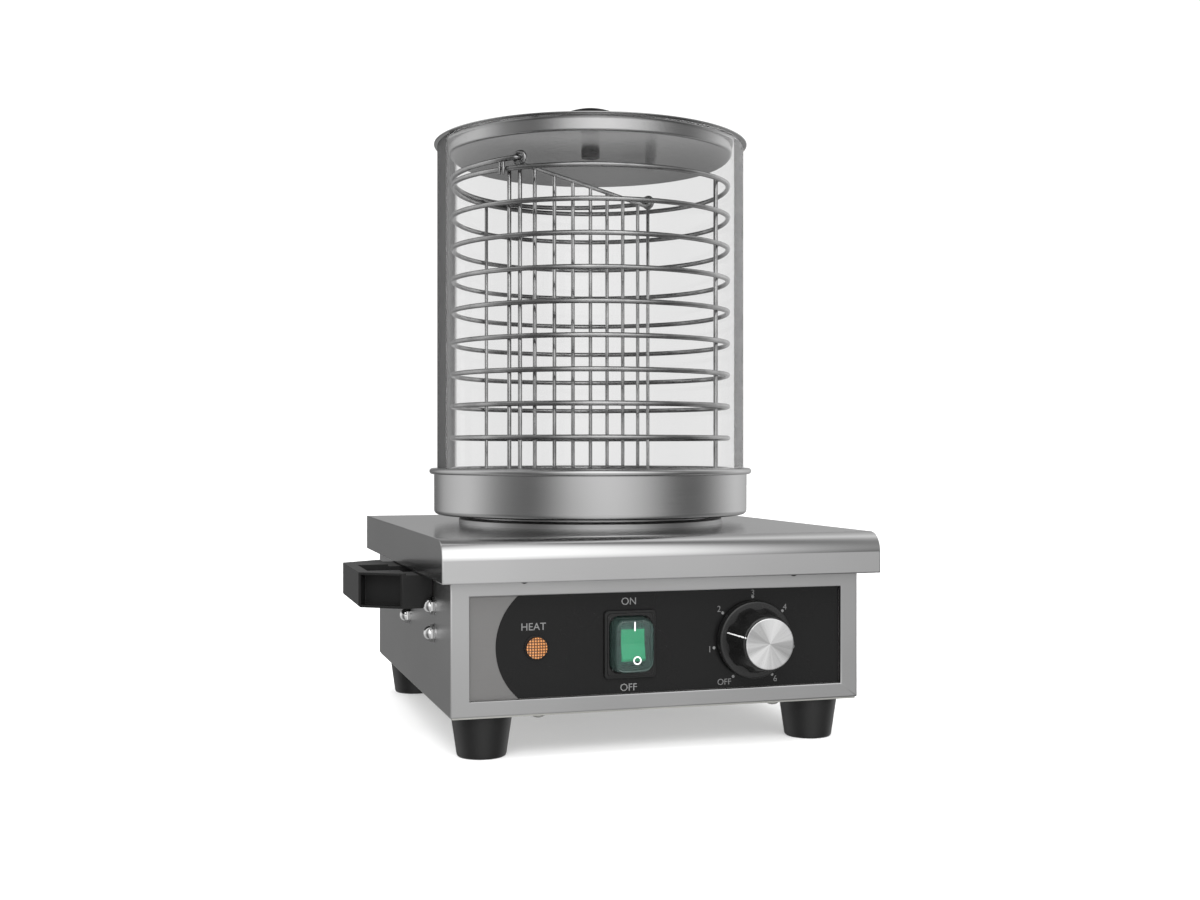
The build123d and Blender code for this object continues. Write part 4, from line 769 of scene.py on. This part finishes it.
def makeDomeNut(point, outward):
    # acorn nut on a thin washer: washer disc, hexagon, dome
    point, outward = Vector(point), Vector(outward)
    base = fastener["washerThick"] + fastener["hexThick"]
    rise = fastener["rise"] - base
    seat = point + outward * fastener["washerThick"]
    bm = addRod(bmesh.new(), point, seat, fastener["washer"], 32)
    addRod(bm, seat, point + outward * base, fastener["hexRadius"], 6, 0.12)
    profile = [(fastener["domeRadius"] * cos(radians(a)), base + rise * sin(radians(a)))
               for a in range(0, 90, 10)] + [(0, fastener["rise"])]
    dome = turned(profile, point, 32, axis=outward, start=outward.orthogonal().normalized())
    return joined(bm, dome)


def makePanHead(point, outward, radius, rise, recess=0.9):
    # low round screw head with a cross recess
    outward = Vector(outward)
    profile = [(radius, -0.02), (radius, rise * 0.35)]
    profile += [(radius * cos(radians(a)), rise * (0.35 + 0.65 * sin(radians(a))))
                for a in range(15, 76, 15)]
    profile += [(recess, rise), (recess * 0.55, rise * 0.4), (0, rise * 0.35)]
    return turned(profile, point, 24, axis=outward, start=outward.orthogonal().normalized())


# radius, rise and, where it isn't the usual one, the recess of each head
screwHeads = {"cover": (2.9, 1.9), "bottom": (3.6, 2.2), "foot": (4.6, 2.6, 1.3)}
# the right-hand side is the left-hand one turned half round about the body's middle
bodySide, bodyMiddle = 120.7, 1.0
for sideName, side in sides:
    for index, (y, z) in enumerate(((-83.3, 80.8), (-83.3, 65.3), (2.4, 66.2)), 1):
        nutY = y if side < 0 else 2 * bodyMiddle - y
        finished(makeDomeNut((side * bodySide, nutY, z), (side, 0, 0)),
                 f"domeNut_{sideName}_{index}", "base", nutFinish, crease=30)
for sideName, side in sides:
    for endName, y, way in (("front", -131.8, -1), ("rear", 133.8, 1)):
        finished(makePanHead((side * 80.0, y, 99.5), (0, way, 0), *screwHeads["cover"]),
                 f"coverScrew_{endName}_{sideName}", "base", darkScrewFinish)
for index, (x, y) in enumerate(((-70, -124), (70, -124), (-70, 126), (70, 126)), 1):
    finished(makePanHead((x, y, foot["height"]), (0, 0, -1), *screwHeads["bottom"]),
             f"bottomScrew_{index}", "base", zincFinish)
for endName in ("front", "rear"):
    for sideName, side in sides:
        finished(makePanHead((side * foot["x"], foot[endName], foot["depth"]), (0, 0, -1),
                             *screwHeads["foot"]),
                 f"footScrew_{endName}_{sideName}", "base", zincFinish)
print("fasteners made")

# hot plate, pan and glass

plate = {"rim": 86.0, "rimTop": 125.6, "disc": 80.0, "hub": 77.5, "hubBottom": 112.0,
         "edge": 0.8, "rimEdge": 1.0, "pegCircle": 66.0, "peg": 2.0, "pegLength": 22.0,
         "stud": 3.0, "studLength": 15.5}
plateProfile = ([(0, levels["plateTop"]), (plate["disc"] - plate["edge"], levels["plateTop"])]
                + arcPoints((plate["disc"] - plate["edge"], levels["plateTop"] - plate["edge"]),
                            plate["edge"], 90, 0, 4)
                + [(plate["disc"], plate["rimTop"] + 0.5), (plate["disc"] + 0.5, plate["rimTop"])]
                + arcPoints((plate["rim"] - plate["rimEdge"], plate["rimTop"] - plate["rimEdge"]),
                            plate["rimEdge"], 90, 0, 4)
                + [(plate["rim"], levels["coverTop"]), (plate["hub"], levels["coverTop"]),
                   (plate["hub"], plate["hubBottom"]), (0, plate["hubBottom"])])
plateMesh = turned(plateProfile, stackAxis, 128)
for angle in (30, 150, 270):
    a = radians(angle)
    top = stackAxis + Vector((plate["pegCircle"] * cos(a), plate["pegCircle"] * sin(a),
                              plate["hubBottom"]))
    addRod(plateMesh, top, top - lift * plate["pegLength"], plate["peg"], 16)
top = stackAxis + lift * plate["hubBottom"]
addRod(plateMesh, top, top - lift * plate["studLength"], plate["stud"], 16)
finished(plateMesh, "hotPlate", "base", plateFinish, ["hot_plate"], crease=30)

pan = {"wall": 102.1, "sheet": 0.8, "corner": 3.0, "neck": 153.2, "roll": 1.9,
       "rollCentre": (103.2, 155.9)}
panCorner = (pan["wall"] - pan["corner"], levels["plateTop"] + pan["corner"])
panProfile = ([(0, levels["plateTop"])] + arcPoints(panCorner, pan["corner"], -90, 0, 7)
              + [(pan["wall"], pan["neck"])]
              + arcPoints(pan["rollCentre"], pan["roll"], -125, 180, 18)
              + arcPoints(panCorner, pan["corner"] - pan["sheet"], 0, -90, 7)
              + [(0, levels["plateTop"] + pan["sheet"])])
finished(turned(panProfile, stackAxis, 144), "waterPan", "pan", panFinish, ["water_pan"],
         crease=40)

glass = {"outer": 100.0, "wall": 6.0, "edge": 0.9}
glassInner, edge = glass["outer"] - glass["wall"], glass["edge"]
glassProfile = []
for r, h, fromAngle in ((glass["outer"] - edge, levels["panFloor"] + edge, -90),
                        (glass["outer"] - edge, levels["glassTop"] - edge, 0),
                        (glassInner + edge, levels["glassTop"] - edge, 90),
                        (glassInner + edge, levels["panFloor"] + edge, 180)):
    glassProfile += arcPoints((r, h), edge, fromAngle, fromAngle + 90, 3)
finished(turned(glassProfile, stackAxis, 180, closed=True), "glassCylinder", "glass", glassFinish,
         ["glass_cylinder"], crease=40)
print("pan and glass made")

# wire basket

basket = {"ring": 90.0, "wire": 1.55, "pitch": 20.23, "count": 11, "upright": 1.25,
          "angles": (-130.0, -40.6, 134.7), "divider": 45.0, "step": 23.5, "rail": 1.4,
          "eye": 3.6, "eyeWire": 1.3, "eyePlace": 87.5, "floorPitch": 22.0, "floorHalf": 4,
          "cross": 40.0, "crossShort": 3.2, "proud": 1.2, "weld": 1.5,
          "weldShape": (0.75, 0.75, 1.1, 1.0), "cut": 0.4}


def bearing(degrees):
    # level direction at an angle from the back toward the right
    return Vector((sin(radians(degrees)), cos(radians(degrees)), 0))


# packed wires are square in section: half a side for a round wire of the same area
ringHalf, railHalf = basket["wire"] * sqrt(pi) / 2, basket["rail"] * sqrt(pi) / 2
along, across = bearing(basket["divider"]), bearing(basket["divider"] + 90)
ringHeights = [levels["ringTop"] - index * basket["pitch"] for index in range(basket["count"])]
uprightReach = basket["ring"] - basket["wire"] - basket["upright"]
railHeight = levels["ringTop"] + basket["wire"] + basket["rail"]
floorHeight = ringHeights[-1] + basket["wire"] + basket["upright"]
crossHeight = floorHeight - 2 * basket["upright"]
eyeHeight = levels["ringTop"] + ringHalf + railHalf + basket["eye"]

rings = bmesh.new()
for height in ringHeights:
    addHoop(rings, stackAxis + lift * height, basket["ring"], basket["wire"], steps=112, sides=12)
finished(rings, "basketRings", "basket", wireFinish, ["basket_rings"],
         crease=60, normals=True)

welds = bmesh.new()


def addUpright(bm, outward, top):
    # an upright inside the rings, with a drop of metal where it meets each
    base = stackAxis + outward * uprightReach
    addRod(bm, base + lift * levels["panFloor"], base + lift * top, basket["upright"], 12,
           basket["cut"])
    for height in ringHeights:
        spot = stackAxis + outward * (basket["ring"] - basket["wire"]) + lift * height
        bmesh.ops.create_uvsphere(
            welds, u_segments=10, v_segments=6, radius=basket["weld"],
            matrix=Matrix.Translation(spot) @ Matrix.Diagonal(basket["weldShape"]))


uprights = bmesh.new()
for angle in basket["angles"]:
    addUpright(uprights, bearing(angle), levels["ringTop"] + basket["proud"])
finished(uprights, "basketUprights", "basket", wireFinish, ["basket_uprights"])

floorWires = bmesh.new()
floorShifts = [(step + 0.5) * basket["floorPitch"]
               for step in range(-basket["floorHalf"], basket["floorHalf"])]
floorRows = [(shift, along, across, floorHeight, basket["ring"]) for shift in floorShifts]
floorRows += [(shift, across, along, crossHeight, basket["ring"] - basket["crossShort"])
              for shift in (-basket["cross"], basket["cross"])]
for shift, sideways, way, height, edge in floorRows:
    reach = sqrt(edge ** 2 - shift ** 2)
    middle = stackAxis + sideways * shift + lift * height
    addRod(floorWires, middle - way * reach, middle + way * reach, basket["upright"], 10,
           basket["cut"])
finished(floorWires, "basketFloor", "basket", wireFinish, ["basket_floor"])

divider = bmesh.new()
rail = stackAxis + lift * railHeight
addRod(divider, rail - along * basket["ring"], rail + along * basket["ring"], basket["rail"], 12,
       basket["cut"])
for place in range(-3, 4):
    spot = stackAxis + along * (place * basket["step"])
    addRod(divider, spot + lift * (floorHeight + basket["upright"] * 0.5),
           spot + lift * railHeight, basket["upright"], 12)
for end in (-1, 1):
    addUpright(divider, along * end, railHeight)
    addHoop(divider, stackAxis + along * (end * basket["eyePlace"]) + lift * eyeHeight,
            basket["eye"], basket["eyeWire"], normal=along, steps=28, sides=10)
finished(divider, "basketDivider", "basket", wireFinish, ["basket_divider"],
         crease=50, normals=True)
finished(welds, "basketWelds", "basket", wireFinish, crease=60)

bail = {"wire": 1.6, "reach": 90.0, "foot": 90.5, "side": 5.0, "hook": 82.5, "gap": 0.15,
        "bend": 2.4, "steps": 48}
bailRest = levels["ringTop"] + ringHalf + bail["wire"] * sqrt(pi) / 2 + bail["gap"]
droop = asin((eyeHeight - bailRest) / bail["reach"])
hinge = stackAxis + lift * eyeHeight
outBail = across * -cos(droop) - lift * sin(droop)
crown = bail["reach"] - bail["side"]
hoopRadius = (bail["foot"] ** 2 + crown ** 2) / (2 * crown)
hoopCentre = bail["reach"] - hoopRadius
halfAngle = asin(min(1.0, bail["foot"] / hoopRadius))
if hoopCentre > bail["side"]:
    halfAngle = pi - halfAngle


def bailEnd(way):
    # from the hook in the eye round the bend
    made = [hinge + along * (way * bail["hook"])]
    for i in range(5):
        a = radians(90 * i / 4)
        made.append(hinge + along * (way * (bail["foot"] - bail["bend"] + bail["bend"] * sin(a)))
                    + outBail * (bail["bend"] - bail["bend"] * cos(a)))
    return made


path = bailEnd(1)
for i in range(1, bail["steps"]):
    a = halfAngle * (1 - 2 * i / bail["steps"])
    path.append(hinge + along * (hoopRadius * sin(a))
                + outBail * (hoopCentre + hoopRadius * cos(a)))
path += bailEnd(-1)[::-1]
finished(addBentWire(bmesh.new(), path, bail["wire"], 12), "bailWire", "bail", wireFinish,
         ["bail"], crease=50, normals=True)

clip = {"angle": -129.0, "wire": 0.9, "half": 1.5, "rise": 3.9}
clipOut = bearing(clip["angle"])
clipMesh = bmesh.new()
for way in (-1, 1):
    spot = (stackAxis + clipOut * (basket["ring"] + basket["wire"] + clip["wire"] + 0.1)
            + lift.cross(clipOut) * (way * clip["half"]))
    addRod(clipMesh, spot + lift * (levels["ringTop"] - clip["rise"]),
           spot + lift * (levels["ringTop"] + clip["rise"]), clip["wire"], 10, basket["cut"])
finished(clipMesh, "ringClip", "basket", wireFinish, ["ring_clip"])
print("basket made")

# lid: one sheet with a rolled rim, flat flange, dished wall and domed disc; knob and screw

lid = {"rim": 102.15, "sheet": 0.8, "wallTop": 93.2, "wallLow": 91.2, "dish": 8.8, "crown": 5.6,
       "crownEdge": 1.4, "rings": 11, "roll": 0.4}
flange, sheet = levels["glassTop"], lid["sheet"]
dish = flange - lid["dish"]


def crownPoint(index, base):
    r = (lid["wallLow"] - lid["crownEdge"]) * index / lid["rings"]
    return (r, base + lid["crown"] * (1 - (r / lid["wallLow"]) ** 2))


# the wall's points are counted from its foot and its top, upper side first, then the under side
lidProfile = [crownPoint(index, dish + sheet) for index in range(lid["rings"] + 1)]
lidProfile += [(lid["wallLow"] + r, dish + h)
               for r, h in ((-0.2, sheet + 0.3), (0.6, sheet + 1.2))]
lidProfile += [(lid["wallTop"] + r, flange + h)
               for r, h in ((-1.2, -0.6), (-0.3, sheet * 0.7), (0.9, sheet))]
lidProfile += [(lid["rim"] - 1.0, flange + sheet)]
lidProfile += arcPoints((lid["rim"] - lid["roll"], flange + sheet - lid["roll"]), lid["roll"],
                        90, -90, 6)
lidProfile += [(lid["wallTop"] + r, flange + h)
               for r, h in ((1.5, 0.001), (0.4, -0.25), (-0.2, -1.4))]
lidProfile += [(lid["wallLow"] + r, dish + h) for r, h in ((1.4, 0.8), (0.5, 0.1), (-0.8, 0.02))]
lidProfile += [crownPoint(index, dish) for index in range(lid["rings"], -1, -1)]
finished(turned(lidProfile, stackAxis, 144), "lidSheet", "lid", lidFinish, ["lid_pan"],
         crease=50)

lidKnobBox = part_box("lid_knob")
knobFoot, knobTop = lidKnobBox[0].z / millimetre, lidKnobBox[1].z / millimetre
# radius and height above the foot, then from the neck radius and distance below the top
lidKnobProfile = ([(r, knobFoot + h) for r, h in ((0, 0), (8.0, 0), (8.0, 2.0), (6.6, 4.0))]
                  + [(r, knobTop - h)
                     for r, h in ((6.2, 13.0), (7.2, 10.4), (11.0, 8.8), (15.0, 8.2))]
                  + arcPoints((15.0, knobTop - 6.7), 1.5, -90, 30, 5)
                  + [(r, knobTop - h)
                     for r, h in ((16.4, 4.0), (16.2, 2.9), (15.2, 2.2), (12.8, 1.4), (10.0, 0.6),
                                  (6.0, 0.1), (0, 0))])
finished(turned(lidKnobProfile, stackAxis, 96), "lidKnob", "lid", mattFinish, ["lid_knob"],
         crease=35)

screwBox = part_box("lid_screw")
screwLow, screwHigh = screwBox[0].z / millimetre, screwBox[1].z / millimetre
screw = {"shank": 2.4, "head": 6.0, "headTop": 364.0, "edge": 1.4}
screwProfile = ([(0, screwHigh), (screw["shank"], screwHigh), (screw["shank"], screw["headTop"]),
                 (screw["head"], screw["headTop"]), (screw["head"], screwLow + screw["edge"])]
                + arcPoints((screw["head"] - screw["edge"], screwLow + screw["edge"]),
                            screw["edge"], 0, -90, 5) + [(0, screwLow)])
finished(turned(screwProfile, stackAxis, 48), "lidScrew", "lid", mattFinish, ["lid_screw"],
         crease=35)
print("lid made")

# cable gland at the back

gland = {"x": 75.0, "z": 50.1, "wall": 133.8, "bore": 4.2, "hex": 11.0, "hexThick": 6.0,
         "reach": 20.1, "cap": 8.6, "nose": 6.4, "noseLength": 5.0, "thread": 7.8, "inside": 11.0,
         "collar": 9.4, "round": 1.4, "ribs": 18, "rib": 0.5}
glandBase = Vector((gland["x"], gland["wall"], gland["z"]))
glandProfile = ([(gland["bore"], -gland["inside"]), (gland["thread"], -gland["inside"]),
                 (gland["thread"], 0.0), (gland["collar"], 0.0), (gland["collar"], 0.5),
                 (gland["cap"], gland["hexThick"]),
                 (gland["cap"], gland["reach"] - gland["noseLength"])]
                + arcPoints((gland["nose"] - 0.8, gland["reach"] - gland["round"]),
                            gland["round"], 30, 90, 4)
                + [(gland["bore"] + 0.3, gland["reach"]), (gland["bore"], gland["reach"] - 0.3)])
glandMesh = turned(glandProfile, glandBase, 64, axis=(0, 1, 0), closed=True)
addRod(glandMesh, glandBase + Vector((0, 0.02, 0)), glandBase + Vector((0, gland["hexThick"], 0)),
       gland["hex"], 6, 0.5)
for index in range(gland["ribs"]):
    a = 2 * pi * index / gland["ribs"]
    spot = glandBase + Vector((gland["cap"] * cos(a), 0, gland["cap"] * sin(a)))
    addRod(glandMesh, spot + Vector((0, gland["hexThick"] + 0.8, 0)),
           spot + Vector((0, gland["reach"] - gland["noseLength"] - 0.5, 0)), gland["rib"], 6)
finished(glandMesh, "cableGland", "base", handleFinish, ["cable_gland"], crease=35)

# finishes of the nodes shown as packed

packedFinishes = {
    "zinc_steel": (zincFinish, [
        "bottom_plate", "cover_bracket_front_left", "cover_bracket_front_right",
        "cover_bracket_rear_left", "cover_bracket_rear_right", "handle_plate_left",
        "handle_plate_right", "element_clamp", "heat_shield"]),
    "black_plastic": (switchFinish, ["lamp_body"]),
    "switch_plastic": (switchFinish, ["switch_body"]),
    "brass_blades": (brassFinish, ["switch_tabs", "thermostat_shaft", "earth_stud"]),
    "pale_plastic": (paleFinish, ["thermostat_body", "thermal_cutout", "terminal_block"]),
    "element_steel": (elementFinish, ["heating_element"]),
    "copper_tube": (copperFinish, ["thermostat_bulb"]),
}


def coatNode(nodeName, material):
    node = cadNodes[nodeName]
    node.data.materials.clear()
    node.data.materials.append(material)


for slotName, (material, nodeNames) in packedFinishes.items():
    for nodeName in nodeNames:
        coatNode(nodeName, material)
coatNode("gland_nut", handleFinish)
print("packed nodes finished:", sum(len(row[1]) for row in packedFinishes.values()) + 1)

# stage, light and camera

stageSize = {"floor": 6.0, "shade": 0.62, "through": 0.42, "glow": 0.38}
floorMesh = bmesh.new()
bmesh.ops.create_circle(floorMesh, cap_ends=True, segments=96, radius=stageSize["floor"])
floorData = bpy.data.meshes.new("studioFloor")
floorMesh.to_mesh(floorData)
floorMesh.free()
floorFinish = bpy.data.materials.new("paleFloor")
floorFinish.use_nodes = True
floorTree = floorFinish.node_tree
floorTint = blended(floorTree, addNode(floorTree, "LightPath").outputs["Is Transmission Ray"],
                    colourOf(stageSize["shade"]), colourOf(stageSize["through"]))
setInputs(floorTree, floorTree.nodes["Principled BSDF"], {
    "Base Color": floorTint, "Emission Color": (1, 1, 1, 1),
    "Emission Strength": stageSize["glow"], "Roughness": 0.9, "Specular IOR Level": 0.0})
floorData.materials.append(floorFinish)
floor = shown("studioFloor", floorData)
floor.visible_glossy = False

# a colour ramp's stops end at one: band and sky are what one stands for
light = {"white": 1.12, "through": 0.84, "sun": 2.2, "band": 1.3, "sky": 2.2}


def addRamp(tree, value, whole, stops):
    # smooth brightness over a position from nought to one
    node = addNode(tree, "ValToRGB", {"Fac": value})
    ramp = node.color_ramp
    ramp.interpolation = "B_SPLINE"
    for index, (position, brightness) in enumerate(stops):
        stop = ramp.elements[index] if index < 2 else ramp.elements.new(position)
        stop.position = position
        stop.color = colourOf(brightness / whole)
    return node.outputs["Color"]


def makeWorld():
    # a white surround for the eye; metal meets a studio of bands round the horizon
    world = bpy.data.worlds.new("studio")
    world.use_nodes = True
    tree = world.node_tree
    tree.nodes.clear()
    parts = addNode(tree, "SeparateXYZ",
                    {0: addNode(tree, "TexCoord").outputs["Generated"]}).outputs
    turn = mathNode(tree, "DIVIDE", mathNode(tree, "ARCTAN2", parts["X"],
                                             times(tree, parts["Y"], -1.0)), 2 * pi)
    # angle from the front toward the right, degrees -> brightness round the horizon
    bands = ((-180, 0.20), (-165, 0.18), (-150, 0.66), (-120, 1.22), (-104, 1.0), (-86, 0.42),
             (-66, 0.20), (-50, 0.22), (-32, 0.84), (-8, 1.24), (12, 1.02), (28, 0.72), (44, 0.26),
             (62, 0.18), (80, 0.4), (106, 1.2), (126, 0.9), (150, 0.4))
    horizon = addRamp(tree, mathNode(tree, "ADD", turn, 0.5), light["band"],
                      [(angle / 360 + 0.5, value) for angle, value in bands])
    # height of the direction -> brightness above and below the horizon
    heights = ((-1.0, 0.5), (-0.25, 0.75), (-0.05, 0.95), (0.06, 1.25), (0.2, 1.8), (0.45, 1.9),
               (0.85, 1.9), (1.0, 1.0))
    above = addRamp(tree, mathNode(tree, "ADD", times(tree, parts["Z"], 0.5), 0.5), light["sky"],
                    [(height / 2 + 0.5, value) for height, value in heights])
    # only the front half has the bright sky; elsewhere it stays below white
    ahead = ranged(tree, parts["Y"], -0.55, -0.1, 1.0, 0.0)
    sky = addNode(tree, "Mix", {"Factor": ahead, "B": above,
                                "A": mathNode(tree, "MINIMUM", above, 1.0 / light["sky"])})
    studio = times(tree, times(tree, horizon, sky.outputs["Result"]), light["band"] * light["sky"])
    studio, dimmed, white = (
        addNode(tree, "Background", {"Color": colour}).outputs[0]
        for colour in (studio, colourOf(light["through"]), colourOf(light["white"])))
    rays = addNode(tree, "LightPath").outputs
    seen = mixed(tree, rays["Is Camera Ray"],
                 mixed(tree, rays["Is Transmission Ray"], studio, dimmed), white)
    addNode(tree, "OutputWorld", {"Surface": seen})
    bpy.context.scene.world = world


makeWorld()


def aimed(made, way):
    made.rotation_mode = "QUATERNION"
    made.rotation_quaternion = way.to_track_quat("-Z", "Y")


def softbox(name, place, aim, size, power):
    data = bpy.data.lights.new(name, "AREA")
    data.shape = "RECTANGLE"
    data.size, data.size_y = size
    data.energy = power
    fixture = shown(name, data)
    fixture.location = place
    aimed(fixture, Vector(aim) - Vector(place))
    fixture.visible_glossy = False


softbox("frontBox", (-0.5, -1.9, 1.5), (0, 0, 0.15), (1.8, 0.8), 26)
softbox("topBox", (0, 0.1, 2.4), (0, 0, 0), (3.4, 3.4), 60)
day = bpy.data.lights.new("wideSun", "SUN")
day.energy, day.angle = light["sun"], radians(110)
shown("wideSun", day).visible_glossy = False

camera = {"place": (-0.2667893, -0.8868, 0.1695), "heading": 16.941, "focal": 1424.76,
          "width": 1200, "sensor": 36.0}
eye = bpy.data.cameras.new("viewCamera")
eye.sensor_width = camera["sensor"]
eye.sensor_fit = "HORIZONTAL"
eye.lens = camera["focal"] / camera["width"] * camera["sensor"]
eye.clip_start, eye.clip_end = 0.01, 100
eyeObject = shown("viewCamera", eye)
eyeObject.location = camera["place"]
aimed(eyeObject, bearing(camera["heading"]))
bpy.context.scene.camera = eyeObject
bpy.context.scene.view_settings.view_transform = "Standard"
print("stage, light and camera set")
